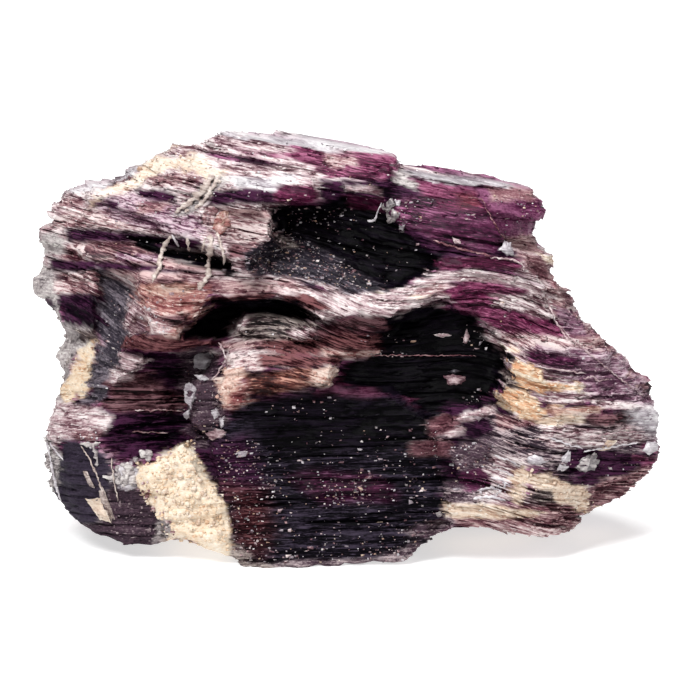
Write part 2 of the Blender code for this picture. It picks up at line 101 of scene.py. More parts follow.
# The dark, middle and light colour of the mineral in each kind of place, as screen colours of 255.
PALETTES = {
    "black": ((3, 2, 5), (7, 4, 10), (26, 20, 30)),
    "violet_black": ((9, 3, 12), (28, 10, 27), (76, 42, 68)),
    "blue_black": ((7, 5, 11), (18, 14, 22), (66, 58, 72)),
    "slate": ((22, 18, 28), (56, 50, 60), (144, 134, 144)),
    "purple": ((36, 9, 30), (84, 31, 64), (158, 98, 132)),
    "magenta": ((58, 12, 40), (108, 40, 74), (172, 102, 134)),
    "red": ((50, 12, 30), (96, 34, 52), (160, 88, 104)),
    "lilac": ((74, 42, 62), (142, 102, 122), (216, 192, 202)),
    "silver": ((98, 62, 72), (188, 160, 164), (244, 232, 231)),
    "pearl": ((146, 134, 142), (206, 199, 204), (244, 240, 242)),
    "pink": ((66, 32, 44), (158, 116, 120), (234, 216, 214)),
    "salmon": ((116, 58, 62), (184, 130, 124), (238, 212, 204)),
    "peach": ((138, 92, 84), (206, 164, 150), (242, 222, 210)),
    "dark_red": ((18, 6, 10), (54, 24, 30), (128, 84, 86)),
    "red_brown": ((22, 9, 14), (64, 33, 40), (134, 96, 102)),
    "orange": ((44, 18, 20), (104, 56, 50), (190, 140, 124)),
    "mauve": ((62, 28, 38), (136, 90, 98), (214, 182, 180)),
    "brown_grey": ((24, 16, 18), (78, 62, 64), (180, 166, 160)),
    "gold": ((214, 158, 120), (240, 214, 184), (252, 242, 226)),
    "cream": ((178, 142, 122), (228, 204, 182), (248, 236, 222)),
    "crust": ((80, 72, 76), (178, 168, 168), (236, 230, 226)),
    "bone": ((112, 92, 88), (198, 180, 172), (238, 228, 220)),
    "speckled": ((32, 20, 32), (84, 64, 76), (196, 178, 180)),
}

# The palettes' colours are darkened by this share, as the lights are bright.
COLOUR_SHARE = 0.74

# A zone of one palette on the front: outline in across and rise, how far its tone leans to light
# or dark, how streaky it is along the bedding, how crumbly it is, and its edge's softness.
Zone = namedtuple("Zone", "palette outline tone streaks crumbs soft")
# The columns of a row of values for a point: its three colours, tone, streaks and crumbs.
DARK, MIDDLE, LIGHT = slice(0, 3), slice(3, 6), slice(6, 9)
TONE, STREAKS, CRUMBS = 9, 10, 11

ZONES = (
    # The upper left: silvery and pink books under a shelf.
    Zone("silver", ((-47, 36), (-47, 54), (-33, 54), (-20, 60), (-9, 50), (-9, 40), (-30, 35)),
         0.0, 1.0, 0.15, 0.8),
    Zone("pearl", ((-43, 48.9), (-40, 49.6), (-34.5, 49.9), (-34, 54), (-46, 54)), 0.1, 0.4, 0, 0.3),
    Zone("pink", ((-42.4, 48.9), (-38.2, 48.6), (-38.6, 47.4), (-42, 47.4)), -0.45, 0.9, 0, 0.3),
    Zone("silver", ((-44, 44.8), (-43.8, 47.4), (-40, 47.6), (-40, 45)), 0.15, 0.8, 0.1, 0.4),
    Zone("pink", ((-43.6, 44.4), (-41, 47), (-36, 46.9), (-33, 45.6), (-30, 44.8), (-33, 43.8),
                  (-38, 44.2)), 0.3, 1.2, 0.1, 0.5),
    Zone("lilac", ((-36, 48.4), (-34, 49), (-30, 49.8), (-25, 47.6), (-20, 45.2), (-20.6, 42.8),
                   (-31, 44.4), (-36, 46.8)), 0.05, 1.4, 0.05, 0.6),
    Zone("violet_black", ((-34.8, 48.4), (-32.8, 48), (-32.6, 46.8), (-34.4, 46.9)), 0.4, 1.0, 0, 0.3),
    Zone("violet_black", ((-41, 44.4), (-33, 44), (-29, 43.4), (-21, 42.8), (-21, 41.2), (-26, 41.2),
                          (-33, 41.4), (-40, 42.4)), 0.65, 1.4, 0, 0.4),
    Zone("mauve", ((-30.6, 46.2), (-27, 46.6), (-25.6, 47.6), (-27, 48.3), (-30, 48)), 0.1, 0.7, 0, 0.3),
    Zone("crust", ((-45, 40.6), (-44.5, 43.6), (-42, 44.1), (-40.5, 42.9), (-40.7, 40.7)),
         0.15, 0.3, 0.4, 0.25),
    Zone("mauve", ((-41, 39.8), (-41, 41.6), (-39, 42.4), (-31, 42.2), (-27, 40.8), (-27, 39),
                   (-34, 38.4)), -0.55, 1.2, 0, 0.4),
    Zone("violet_black", ((-43, 40.2), (-36, 39.8), (-30, 39.4), (-20.4, 38.4), (-20.4, 37.8),
                          (-28, 38), (-36, 38), (-43, 38.4)), 0.5, 1.2, 0, 0.4),
    Zone("pink", ((-39.8, 42.1), (-36.8, 41.9), (-35.4, 40.9), (-33.2, 40.3), (-35, 39.9), (-37.8, 40.1)),
         0.8, 0.3, 0.3, 0.2),
    Zone("lilac", ((-33.2, 41), (-27.2, 40.4), (-27.2, 39.5), (-33.6, 40)), -0.2, 0.9, 0, 0.25),
    Zone("mauve", ((-34.4, 38.5), (-28, 38.1), (-20.4, 37.8), (-16.5, 37.2), (-20, 36.2), (-30, 36.2)),
         0.15, 1.1, 0, 0.3),
    Zone("mauve", ((-26.6, 39.9), (-20.3, 38.6), (-20.3, 38), (-26.8, 38.7)), 0.15, 0.6, 0, 0.2),
    Zone("red_brown", ((-27.6, 37.3), (-23, 36.9), (-23.4, 35.8), (-27.2, 36.4)), -0.3, 1.0, 0, 0.2),
    Zone("black", ((-31.4, 43.2), (-27.2, 42.8), (-26.4, 41.2), (-21, 40.8), (-17, 39.5),
                   (-15.8, 38.2), (-17.2, 37.5), (-20.3, 38.4), (-26, 39.9), (-31.4, 41.7)),
         0.15, 0.7, 0, 0.25),
    Zone("cream", ((-38.4, 47.5), (-34.6, 49.5), (-30, 52.2), (-30.4, 53.6), (-27, 55.6), (-23.4, 56.6),
                   (-22.6, 54.8), (-20.4, 54.4), (-20, 52.6), (-26, 52.8), (-29.6, 51), (-35.4, 48.4),
                   (-37.4, 47.2)), 0.05, 0.6, 0.4, 0.4),
    Zone("silver", ((-28, 55), (-24, 56), (-22.4, 56), (-22.6, 54.8), (-25.4, 54.2)), 0, 1.2, 0.1, 0.4),
    Zone("pearl", ((-34.6, 50.8), (-33.4, 52.6), (-31.6, 53.6), (-30, 53.6), (-30.4, 52.4), (-32.8, 51)),
         -0.1, 0.6, 0.1, 0.25),
    Zone("red_brown", ((-34.4, 50.2), (-34.2, 51), (-31, 52), (-30.6, 51.6)), 0.1, 0.6, 0, 0.15),
    Zone("pink", ((-29.4, 50.5), (-29, 51.8), (-24, 52.1), (-21.2, 52.2), (-21.8, 50.6), (-25.4, 50.2)),
         -0.25, 0.9, 0.15, 0.3),
    Zone("violet_black", ((-30.2, 50), (-26, 49.8), (-24.6, 49), (-24.8, 47.9), (-27.4, 48),
                          (-29.8, 49)), 0.25, 0.9, 0, 0.25),
    Zone("silver", ((-24, 57), (-19, 57.4), (-17, 55.6), (-8, 53.9), (-4.8, 52.8), (-6, 51),
                    (-12, 51.4), (-17.6, 52.2), (-22, 54.4)), -0.1, 1.4, 0.05, 0.4),
    Zone("purple", ((-21, 55.4), (-14, 54.6), (-9, 53.4), (-13, 53.2), (-20, 54)), -0.1, 1.2, 0, 0.4),
    Zone("magenta", ((-19.4, 57), (-12, 56.7), (-6, 55.9), (0, 55), (5, 55.05), (7.2, 54.4),
                     (6.6, 52.2), (2, 51.5), (-4, 51.4), (-4.8, 53), (-9, 54.2), (-17, 55.6)),
         -0.35, 1.3, 0.05, 0.25),
    Zone("silver", ((-19, 57), (-11, 56.6), (-8, 55.4), (-12, 55), (-18, 56)), -0.4, 1.6, 0, 0.5),
    Zone("pink", ((-3.6, 54.9), (0.6, 54.8), (1, 53), (-1, 52.6), (-3.2, 53.4)), 0, 0.5, 0.5, 0.3),
    Zone("pearl", ((-20, 57.6), (-12, 56.8), (-6, 56), (0, 55.1), (4.8, 55.05), (8, 54.4),
                   (8, 60), (-20, 61)), -0.1, 0.5, 0, 0.15),
    Zone("violet_black", ((-20, 49.8), (-10, 49.6), (-9.6, 47.8), (-20, 47.4)), 0.7, 1.2, 0.1, 0.4),
    Zone("magenta", ((-10.4, 50.4), (-5.4, 50.4), (-4.8, 48.2), (-8, 47.8), (-10.4, 48)),
         -0.55, 0.8, 0.1, 0.3),
    Zone("pearl", ((-17.4, 51.7), (-6, 51.2), (-10.2, 50.7), (-10.4, 49.5), (-16.6, 50.1)),
         0.1, 1.6, 0.05, 0.25),
    Zone("cream", ((-22.6, 52.8), (-17.4, 52.5), (-17.6, 51.2), (-21, 51)), 0.1, 0.4, 0.5, 0.3),
    Zone("crust", ((-25.6, 46), (-22.8, 48.7), (-20.2, 51), (-17.6, 52), (-17.5, 50), (-19.4, 49.4),
                   (-21, 47.3), (-23, 46)), -0.15, 0.5, 0.5, 0.3),
    Zone("mauve", ((-17.6, 46.9), (-11.4, 46.9), (-10.8, 45.6), (-17, 45.2)), 0.1, 0.9, 0, 0.25),
    Zone("pink", ((-18.4, 44.4), (-17, 45.6), (-10.8, 45.7), (-10.2, 44.6), (-10.5, 41.5), (-13, 41.2),
                  (-17.8, 42.8)), 0.6, 1.3, 0.3, 0.25),
    Zone("red_brown", ((-17.8, 42.6), (-13, 41.3), (-10.6, 41.2), (-10.6, 40), (-17.4, 40)),
         0.1, 1.4, 0, 0.3),
    # The deep hollow at the top and the ridge that runs under it.
    Zone("violet_black", ((-5, 51.4), (0, 50.7), (5, 51.6), (12, 51.4), (20, 50.6), (22.4, 42.8),
                          (24.5, 39.5), (14, 38.6), (8, 40), (2, 46), (-5, 48.2)), 0.5, 0.8, 0.1, 0.4),
    Zone("silver", ((-0.8, 50.3), (3.8, 50.4), (4.7, 48.9), (4.1, 49), (3.4, 49.6), (-0.8, 49.5)),
         0, 0.8, 0.1, 0.2),
    Zone("magenta", ((9.4, 51.5), (14, 50.9), (18.8, 49.6), (19.8, 46.6), (14, 46.4), (11, 47.4)),
         -0.25, 0.7, 0.1, 0.6),
    Zone("red", ((15, 49.6), (18.4, 49.2), (18.8, 47.4), (15.4, 47)), 0, 0.5, 0.1, 0.5),
    Zone("purple", ((11, 47.4), (19.6, 46.8), (22.3, 42.8), (20, 41), (12, 42.4), (9, 45)),
         -0.35, 0.6, 0.25, 0.7),
    Zone("crust", ((6.2, 51.3), (7.3, 52.9), (9.9, 50.6), (9.4, 49.4), (8, 50)), -0.1, 0.4, 0.3, 0.3),
    Zone("purple", ((18.6, 50.2), (26.6, 50), (28.6, 46), (26.8, 43.4), (22.4, 42.8), (20.4, 45.8),
                    (18.9, 48.6)), 0.1, 0.2, 0.5, 0.3),
    Zone("mauve", ((19.6, 50.2), (26.4, 50), (27, 48.2), (24, 48.6), (20.4, 48.2)), 0.0, 0.3, 0.4, 0.4),
    Zone("pearl", ((7.3, 52.9), (10, 51.8), (14, 51), (20, 50.4), (26.6, 49.9), (29, 54), (7.3, 57)),
         -0.1, 0.5, 0, 0.15),
    # Black in the deep hollow, partly its own dark mica and partly painted shade under the ledges around it.
    Zone("black", ((-10.3, 47.4), (-4.8, 48), (3, 48.5), (5, 46.4), (9, 43), (13, 41), (12, 38),
                   (5, 35), (0, 35.4), (-4, 38), (-9, 41), (-10.4, 43)), 0.1, 0.6, 0.05, 0.35),
    Zone("purple", ((6, 48.2), (11.8, 48.4), (12, 45.6), (8, 44.4), (6, 46)), -0.2, 1.2, 0.2, 0.5),
    Zone("magenta", ((0, 48.8), (4.6, 48.6), (4, 47), (0, 47.4)), -0.6, 0.8, 0, 0.4),
    Zone("slate", ((-15, 40.2), (-10.6, 42.8), (-8, 44), (-5, 42), (-1.6, 39.6), (1, 37.6),
                   (4, 36.2), (5, 35), (0, 35), (-7, 36.8), (-14, 38)), -0.75, 0.6, 0.5, 0.6),
    Zone("brown_grey", ((-10.4, 43.6), (-8.4, 42.8), (-7.4, 41.4), (-9.6, 41.2)), 0.1, 0.8, 0.2, 0.3),
    Zone("magenta", ((12.4, 38.3), (17, 38.7), (24.6, 38.4), (24.4, 39.8), (20, 40.2), (12, 40)),
         -0.7, 0.7, 0, 0.3),
    Zone("mauve", ((22.6, 43), (26.8, 43.8), (28.4, 42), (28, 40.8), (23.6, 41.2)), 0.25, 0.9, 0.2, 0.3),
    Zone("mauve", ((23.2, 41.1), (27.8, 40.6), (29, 38.4), (28, 36.8), (25.2, 38), (24.4, 39.8)),
         -0.4, 0.6, 0.2, 0.3),
    Zone("mauve", ((27.8, 38), (29.6, 38), (36, 32), (44, 24), (43.4, 19.6), (41, 21), (35, 27),
                   (31, 28.4), (29.2, 31.3), (28, 35.4)), 0.1, 0.7, 0.2, 0.4),
    Zone("lilac", ((29.4, 33.4), (32, 32.4), (34.6, 29), (31, 28.8), (29.6, 30.8)), -0.35, 0.5, 0.1, 0.3),
    Zone("pink", ((29.2, 35.9), (30.8, 36), (31, 34.6), (29.6, 34.2)), 0.2, 0.4, 0.3, 0.25),
    Zone("silver", ((-24, 36.5), (-16, 37.4), (-10, 37.6), (-7, 36.8), (-4, 35.2), (0, 35),
                    (4, 34.4), (5.4, 34.7), (8, 35.6), (11, 37.6), (13.6, 38.2), (16, 38.5), (20, 37.9),
                    (25, 37), (27.8, 35.1), (26, 34.9), (20, 36.8), (15.6, 37), (12, 35.8), (9, 34.2),
                    (14.6, 33.4), (10, 32.4), (7.6, 31.2), (6, 30.2), (2, 31.8), (-2, 31.2),
                    (-4.5, 30.6), (-8, 33.4), (-12, 34.8), (-20, 34.9)), 0.2, 0.9, 0.35, 0.3),
    Zone("mauve", ((-22, 36.6), (-16.4, 37.1), (-11.4, 36.4), (-9.6, 35.2), (-14, 34.8), (-20, 35)),
         0.1, 1.0, 0, 0.3),
    Zone("pink", ((-12.4, 36.9), (-9, 37.2), (-5.6, 35.6), (-8.6, 35)), 0.2, 0.8, 0.1, 0.3),
    Zone("pink", ((9.4, 35.4), (11.6, 36.6), (13.8, 36.2), (13.6, 34.8), (10.4, 34.6)),
         0.25, 0.6, 0.2, 0.3),
    Zone("dark_red", ((-9.8, 34.9), (-6, 34.6), (-2, 32.7), (-5.4, 32.4), (-9.4, 33.9)), 0.45, 1.0, 0, 0.25),
    Zone("magenta", ((13, 35.2), (16, 36.8), (20, 36.7), (24.8, 35.2), (20.4, 33), (15, 33.4)),
         -0.45, 0.9, 0, 0.3),
    Zone("silver", ((20.2, 34.9), (27.8, 34.6), (29, 32.6), (29.4, 31.4), (27, 31.3), (23, 32.8),
                    (20.4, 33.4)), -0.05, 1.6, 0, 0.3),
    Zone("magenta", ((17, 33), (20.6, 33), (26, 31.6), (29.6, 31.2), (31, 28.9), (26, 28.6), (21, 29.6),
                     (19, 31)), -0.35, 1.2, 0, 0.4),
    Zone("pink", ((20.8, 29.4), (25, 29.5), (31, 28.5), (37, 27.4), (34, 26.6), (27, 27.2), (22, 28.2)),
         -0.1, 1.2, 0.1, 0.4),
    # The hollow in the middle, its ledges, and the dark one right of it.
    Zone("dark_red", ((-21, 34.1), (-12, 35.2), (-9.6, 34.9), (-12, 33.9), (-18, 33.3)),
         -0.05, 0.8, 0, 0.25),
    Zone("black", ((-20.6, 33.9), (-10, 34.4), (-7, 33.6), (-4.4, 31), (-9, 31.8), (-15, 32.2)),
         0.1, 0.5, 0, 0.25),
    Zone("black", ((-20.3, 33.3), (-16, 33), (-15.3, 31.5), (-17.5, 28.6), (-24.6, 28.7),
                   (-22.5, 30.5), (-21, 32)), 0, 0.3, 0, 0.25),
    Zone("brown_grey", ((-16.8, 31.3), (-12, 32.4), (-8, 31.6), (-4.5, 30.6), (-3, 29), (-7, 27.6),
                        (-12, 28), (-17, 28.5)), -0.05, 1.5, 0.05, 0.3),
    Zone("silver", ((-17.4, 30.2), (-15.4, 31.8), (-14.4, 31.2), (-15.6, 29.6), (-17, 28.4)),
         0.1, 0.8, 0.2, 0.3),
    Zone("silver", ((-9, 29.6), (-5, 30.2), (-3, 29.6), (-4.6, 28.6), (-7.4, 27.8)), -0.2, 1.5, 0, 0.25),
    # Black in the hollow under the ridge, partly its own dark mica and partly painted shade under the ridge's
    # overhang.
    Zone("black", ((0, 31), (8, 32), (13, 33.2), (18, 31.8), (20, 28.5), (22.4, 26.2), (21.8, 23.4),
                   (20.6, 21), (18.6, 19), (14.6, 18.8), (12, 17.5), (8, 20), (0, 21), (-2, 22.5),
                   (-1, 25), (2, 25.6), (4, 28)), 0, 0.5, 0, 0.35),
    Zone("red_brown", ((-6.4, 29.4), (-2, 31.1), (2, 31.9), (5, 31.2), (6, 30), (1, 29.4), (-4, 27.4)),
         0, 1.3, 0.05, 0.4),
    Zone("dark_red", ((-14, 28.4), (-6, 28.4), (-1, 29.6), (4.4, 29), (4.6, 27.4), (0, 26), (-8, 26),
                      (-14, 27)), 0.1, 1.4, 0.05, 0.4),
    Zone("salmon", ((-4, 27.2), (0, 26.6), (3.6, 27), (4, 26.4), (0, 25.7), (-4, 25.6)), -0.1, 1.0, 0.1, 0.3),
    Zone("mauve", ((-18.6, 28), (-12, 28.2), (-12.8, 27.2), (-17.8, 27)), 0.3, 1.3, 0.1, 0.25),
    Zone("pink", ((-17.6, 26.6), (-13, 26.2), (-10.6, 25), (-13.4, 23.9), (-17.6, 24.8)),
         0.3, 1.3, 0.2, 0.25),
    Zone("dark_red", ((-13.4, 26.6), (-6, 26), (-0.6, 26), (-1.6, 25), (-6, 24.6), (-12.6, 24.5)),
         0.2, 1.6, 0, 0.25),
    Zone("orange", ((-15, 23.5), (-8, 24.3), (-3, 24.4), (-2.6, 22.6), (-4.6, 21.6), (-7, 21.2),
                    (-14.4, 20.9)), -0.45, 1.1, 0.1, 0.25),
    Zone("peach", ((-5.6, 22.3), (-5.2, 24), (-2, 24.8), (-1.6, 23.4), (-2.6, 22), (-4.2, 21.5)),
         0.2, 0.7, 0.4, 0.25),
    Zone("salmon", ((-18.4, 18.8), (-16.4, 22), (-14, 22.6), (-13.8, 19.4), (-16, 18.6)),
         -0.55, 0.7, 0.2, 0.3),
    Zone("peach", ((-19.6, 18.9), (-18.4, 24.4), (-15.4, 24.2), (-14.6, 23.2), (-16, 21.4), (-17, 19.4)),
         0.25, 0.5, 0.7, 0.25),
    # The left side: a salmon knob, dark recesses and a crusted edge.
    Zone("salmon", ((-30.4, 36), (-28, 36.5), (-22, 36.4), (-20.2, 34.8), (-20.2, 33.5),
                    (-21, 32.4), (-23, 30.5), (-25, 28.6), (-27.5, 28.4), (-29.4, 31), (-30.2, 33)),
         -0.15, 0.9, 0.25, 0.25),
    Zone("peach", ((-30, 36), (-27, 36.4), (-22, 36), (-23, 34.6), (-28, 34.8)), 0, 0.7, 0.3, 0.3),
    Zone("red_brown", ((-26.8, 31.8), (-22.2, 32.2), (-22.6, 30.4), (-25.4, 30.2)), 0.25, 1.0, 0, 0.4),
    Zone("pink", ((-30.2, 33), (-28, 33.2), (-26.8, 31.6), (-25.2, 29.8), (-26.4, 28.6), (-28.6, 29.2),
                  (-29.8, 31.2)), 0.4, 0.5, 0.6, 0.35),
    Zone("slate", ((-36, 38.6), (-31.6, 36.6), (-30.4, 34), (-30.4, 30), (-32, 28.4), (-33.5, 24),
                   (-35, 20), (-38.4, 19.5), (-37, 24), (-36.2, 29), (-35.8, 34)), 0.15, 0.4, 0.4, 0.4),
    Zone("silver", ((-32, 34.2), (-30.2, 34.8), (-30, 30.6), (-31.4, 29.2), (-32.6, 31.4)),
         -0.35, 0.6, 0.7, 0.4),
    Zone("pink", ((-43, 38), (-36, 38.2), (-35.6, 35.2), (-42, 35)), -0.2, 1.2, 0.1, 0.3),
    Zone("violet_black", ((-42, 35.1), (-35.6, 35.3), (-35.4, 30.6), (-36.4, 29.6), (-40.6, 30.6)),
         0.05, 0.6, 0.1, 0.3),
    Zone("crust", ((-47, 39.4), (-43.4, 39), (-42.4, 37), (-42, 34.6), (-41, 30.8), (-40.2, 28),
                   (-46, 27)), 0, 0.4, 0.8, 0.35),
    Zone("violet_black", ((-44.2, 34.4), (-42.4, 34.4), (-42, 32.8), (-43.6, 32.8)), 0.5, 0.4, 0.4, 0.3),
    Zone("crust", ((-41, 30.8), (-37.4, 30), (-36.2, 29.4), (-37, 27.6), (-41, 27)), -0.1, 0.4, 0.8, 0.35),
    Zone("brown_grey", ((-39, 30), (-36.2, 29.8), (-36, 28.2), (-38.6, 28)), -0.1, 0.6, 0.3, 0.3),
    Zone("crust", ((-44.6, 29), (-41, 29.6), (-39, 27), (-40.4, 23.4), (-41.4, 19), (-44.6, 18.4)),
         -0.1, 0.3, 0.9, 0.5),
    Zone("gold", ((-36.3, 28.5), (-38.9, 27), (-38.4, 24.8), (-40.4, 22.9), (-42, 20.6), (-41.1, 19.3),
                  (-38, 20.8), (-36.9, 24.1)), 0.1, 0.4, 0.7, 0.25),
    Zone("red_brown", ((-34, 22.6), (-28, 24.4), (-23.6, 24.4), (-23, 20), (-23.4, 18), (-33, 18.2),
                       (-36, 19.4)), 0.2, 1.0, 0, 0.5),
    Zone("violet_black", ((-31.6, 27), (-22, 27), (-23.4, 20.4), (-25.2, 21.2), (-28.4, 24)),
         -0.1, 0.7, 0, 0.9),
    Zone("violet_black", ((-36, 18.4), (-28, 18.2), (-27, 15), (-30, 11.4), (-34, 11.4), (-36, 15)),
         0.3, 1.0, 0.1, 0.5),
    Zone("violet_black", ((-30, 18.2), (-22.6, 18.2), (-22.6, 13.8), (-26, 12.6), (-31, 11.6)),
         -0.1, 0.9, 0.05, 0.7),
    Zone("dark_red", ((-32, 29.4), (-24, 28.6), (-18.5, 28.2), (-18.3, 27.7), (-22, 26.9),
                      (-28, 26.8), (-33, 27.3)), 0.3, 0.8, 0, 0.25),
    Zone("silver", ((-33.2, 26.8), (-30, 26.2), (-27.8, 25.4), (-30.4, 24.6), (-32.6, 24.5)),
         0.2, 0.7, 0.3, 0.25),
    Zone("silver", ((-34, 24.8), (-31.6, 24.6), (-29.6, 24.2), (-32.6, 22.3), (-33.8, 22.6)),
         -0.1, 1.0, 0.4, 0.25),
    Zone("speckled", ((-24, 27), (-20, 27), (-18.4, 24), (-18.4, 20), (-17.6, 16), (-19.5, 13.5),
                      (-22.5, 13.8), (-23.4, 18)), -0.35, 0.3, 0.5, 0.4),
    Zone("silver", ((-46, 14.2), (-46, 19), (-41, 19.6), (-36, 18.9), (-33.8, 17.6), (-35, 15.6),
                    (-38, 14.8), (-41, 14)), 0.2, 0.9, 0.3, 0.4),
    Zone("pink", ((-40, 15.4), (-35.6, 15.6), (-36, 14.2), (-39, 14.2)), -0.2, 0.8, 0.4, 0.3),
    Zone("blue_black", ((-42, 14), (-38.4, 14), (-36, 12.8), (-33.4, 10), (-33, 4), (-35, 0),
                        (-40, 2), (-43, 6)), 0.6, 0.2, 0.2, 0.35),
    Zone("crust", ((-46, 15), (-42.8, 14.4), (-41.4, 10), (-42, 7), (-42.8, 4.4), (-46, 6)),
         -0.1, 0.6, 0.5, 0.3),
    Zone("speckled", ((-33.6, 10), (-31, 7.6), (-28.6, 6), (-27, 3), (-26, -2), (-41, -2),
                      (-41, 1.6), (-35, 2.6)), -0.5, 0.3, 0.6, 0.5),
    # The great dark face and the books right of it.
    Zone("blue_black", ((-21, 15.6), (-14, 20), (-8, 20.4), (-1, 20.4), (6, 20), (12.4, 18), (14, 12),
                        (14, 5), (12, 1), (11, -6), (-20, -6), (-17, -2), (-18.4, 4), (-20.6, 9)),
         -0.1, 0.9, 0.2, 0.8),
    # Black at the top of the dark face, partly its own dark mica and partly painted shadow under the ledges
    # that overhang it.
    Zone("black", ((-14, 20.8), (-2, 22), (12, 19), (12, 12), (-10, 12), (-14, 15)), 0.2, 0.8, 0.1, 2.0),
    Zone("violet_black", ((-20.6, 14), (-14.6, 14.6), (-12, 10), (-12.4, 6), (-18, 6), (-20.4, 10)),
         0.3, 0.6, 0.4, 1.6),
    Zone("dark_red", ((-17.4, 8), (-11.6, 7), (-11.4, 1), (-12.4, -2), (-16, -1.4), (-16.4, 3)),
         -0.25, 0.6, 0.4, 1.8),
    Zone("purple", ((-8, 9), (4, 8.6), (6, 6.4), (-4, 6)), -0.9, 0.6, 0.5, 1.6),
    Zone("brown_grey", ((-17.4, -1), (-15, -1.2), (-14, -2.6), (-10, -2.9), (-10, -6), (-19, -5)),
         0.5, 0.5, 0.6, 0.4),
    Zone("speckled", ((-10, -2.8), (4, -2.6), (8, -1.2), (10.6, 0), (12, -1), (8, -5), (-10, -6)),
         -0.1, 0.5, 0.6, 0.35),
    Zone("speckled", ((7.6, 1), (10, 2), (12.6, 2.4), (13.8, 4), (15, 2.4), (11.6, 0.4)),
         0.25, 0.4, 0.6, 0.3),
    Zone("violet_black", ((12, 17), (14, 19.6), (18.6, 19.6), (21, 21.4), (23, 18), (21, 15), (14, 14.5)),
         0.2, 0.8, 0.3, 0.5),
    Zone("violet_black", ((14, 17), (20, 18.6), (21.4, 15), (20, 7), (17, 5.4), (13.4, 5), (13.4, 12)),
         0.1, 0.6, 0.4, 0.5),
    Zone("mauve", ((10.8, 16.4), (13, 17.6), (16, 17.9), (15, 15.4), (11.4, 14.8)), -0.9, 0.4, 0.4, 0.4),
    Zone("mauve", ((8.6, 13.5), (12, 14.4), (14.4, 14), (14, 12.2), (9, 12)), -1.0, 0.3, 0.3, 0.5),
    Zone("silver", ((14.8, 17), (16.6, 18.6), (20.4, 19.4), (20.8, 18), (17.4, 16.9)), -0.1, 0.8, 0.4, 0.3),
    Zone("silver", ((13.6, 15.1), (16, 16.5), (16.6, 15.4), (14.2, 14.6)), 0, 0.8, 0.3, 0.2),
    Zone("speckled", ((14.6, 13.4), (17.8, 14.8), (20, 14.4), (19.8, 11), (17, 9.8), (14.8, 10.6)),
         -0.2, 0.3, 0.6, 0.4),
    Zone("purple", ((15.8, 9.8), (19.8, 10), (20, 7.4), (17, 7), (15, 8.4)), -0.35, 0.3, 0.3, 0.3),
    Zone("speckled", ((13.2, 8), (15, 8.6), (17, 7), (20, 7.2), (20.4, 5.2), (13.4, 5.2)),
         -0.15, 0.4, 0.6, 0.3),
    Zone("speckled", ((20.4, 17.2), (27, 16.6), (37, 16), (41, 13), (40, 8), (30, 9), (24, 12),
                      (20.8, 12)), -0.15, 1.6, 0.1, 0.5),
    Zone("silver", ((26.8, 16.5), (31, 15.9), (37, 15.4), (43, 15.7), (44.8, 14.6), (39, 13.6),
                    (33, 13), (28, 13.3)), 0.05, 2.0, 0.05, 0.3),
    Zone("silver", ((20, 12.6), (26, 12.3), (24.4, 10.6), (23, 8.4), (22.4, 5.4), (17.6, 5.4),
                    (18.4, 7), (20, 8.2)), -0.1, 1.4, 0.4, 0.3),
    Zone("violet_black", ((30.6, 13), (41.6, 12.6), (41.4, 9.4), (38, 7.4), (33, 7.8), (30.6, 9.4)),
         0.35, 1.0, 0.1, 0.3),
    # The golden crumbly patch of the right side, and the plates around it.
    Zone("lilac", ((26, 27.6), (33, 27.4), (38, 26.8), (41.8, 22.6), (45, 18.6), (36, 18.8),
                   (34, 20.6), (33, 22.6), (27.6, 24.8)), -0.15, 1.2, 0.05, 0.4),
    Zone("purple", ((24.6, 27), (29, 26.6), (33, 25.8), (33, 24.3), (28, 24.9), (25, 25)),
         -0.45, 1.3, 0, 0.3),
    Zone("lilac", ((33, 26), (38.2, 25.6), (38, 22), (35.6, 20.8), (33.4, 21.4)), -0.45, 0.8, 0.2, 0.5),
    Zone("brown_grey", ((21.2, 24.5), (24, 24.2), (26, 21.8), (25.4, 20.8), (21.6, 21.6)),
         0.1, 0.6, 0.5, 0.3),
    Zone("gold", ((22.9, 26.8), (23.6, 25.3), (25.7, 24.7), (27.1, 23.6), (29.3, 22.4), (32.4, 21.9),
                  (33, 21), (30.5, 21.1), (28.1, 21.6), (27, 20.5), (25.7, 21), (24.1, 22.2),
                  (22.9, 23.4)), -0.35, 0.9, 0.4, 0.2),
    Zone("gold", ((20.6, 20.7), (22.4, 21.6), (25.2, 20.8), (27.3, 19), (30.5, 19), (28.1, 17.7),
                  (26.2, 17), (24.3, 17.4), (22.4, 18.4), (20.8, 19.4)), -0.4, 0.7, 0.5, 0.2),
    Zone("silver", ((27, 20.8), (30, 20.8), (33.2, 20.6), (33.2, 19.4), (28, 19.3)), -0.1, 2.0, 0.1, 0.2),
    Zone("peach", ((28, 19.2), (30, 18.7), (35.8, 19.1), (35.6, 17.9), (30.2, 17.6), (28, 18)),
         -0.45, 0.9, 0.1, 0.2),
    Zone("cream", ((26, 16.6), (28, 17.6), (33.8, 17.8), (33.4, 16.7), (28, 16.1)), 0, 0.8, 0.3, 0.2),
    Zone("mauve", ((24, 17.3), (26, 17.2), (26.6, 16.4), (21, 15.6), (20.8, 17.8)), 0, 1.2, 0.2, 0.3),
    Zone("silver", ((33, 20.4), (38, 19.7), (43.8, 18.7), (41, 18.3), (35.6, 18.8)), -0.05, 1.6, 0, 0.25),
    Zone("red_brown", ((33.4, 17.6), (42, 18.2), (41.6, 16.2), (35, 16), (33.6, 16.6)), 0.2, 1.2, 0, 0.35),
    Zone("pearl", ((40.4, 18.5), (46, 19.4), (46, 15), (43.4, 14.6), (41, 15.8)), 0.0, 0.9, 0.1, 1.1),
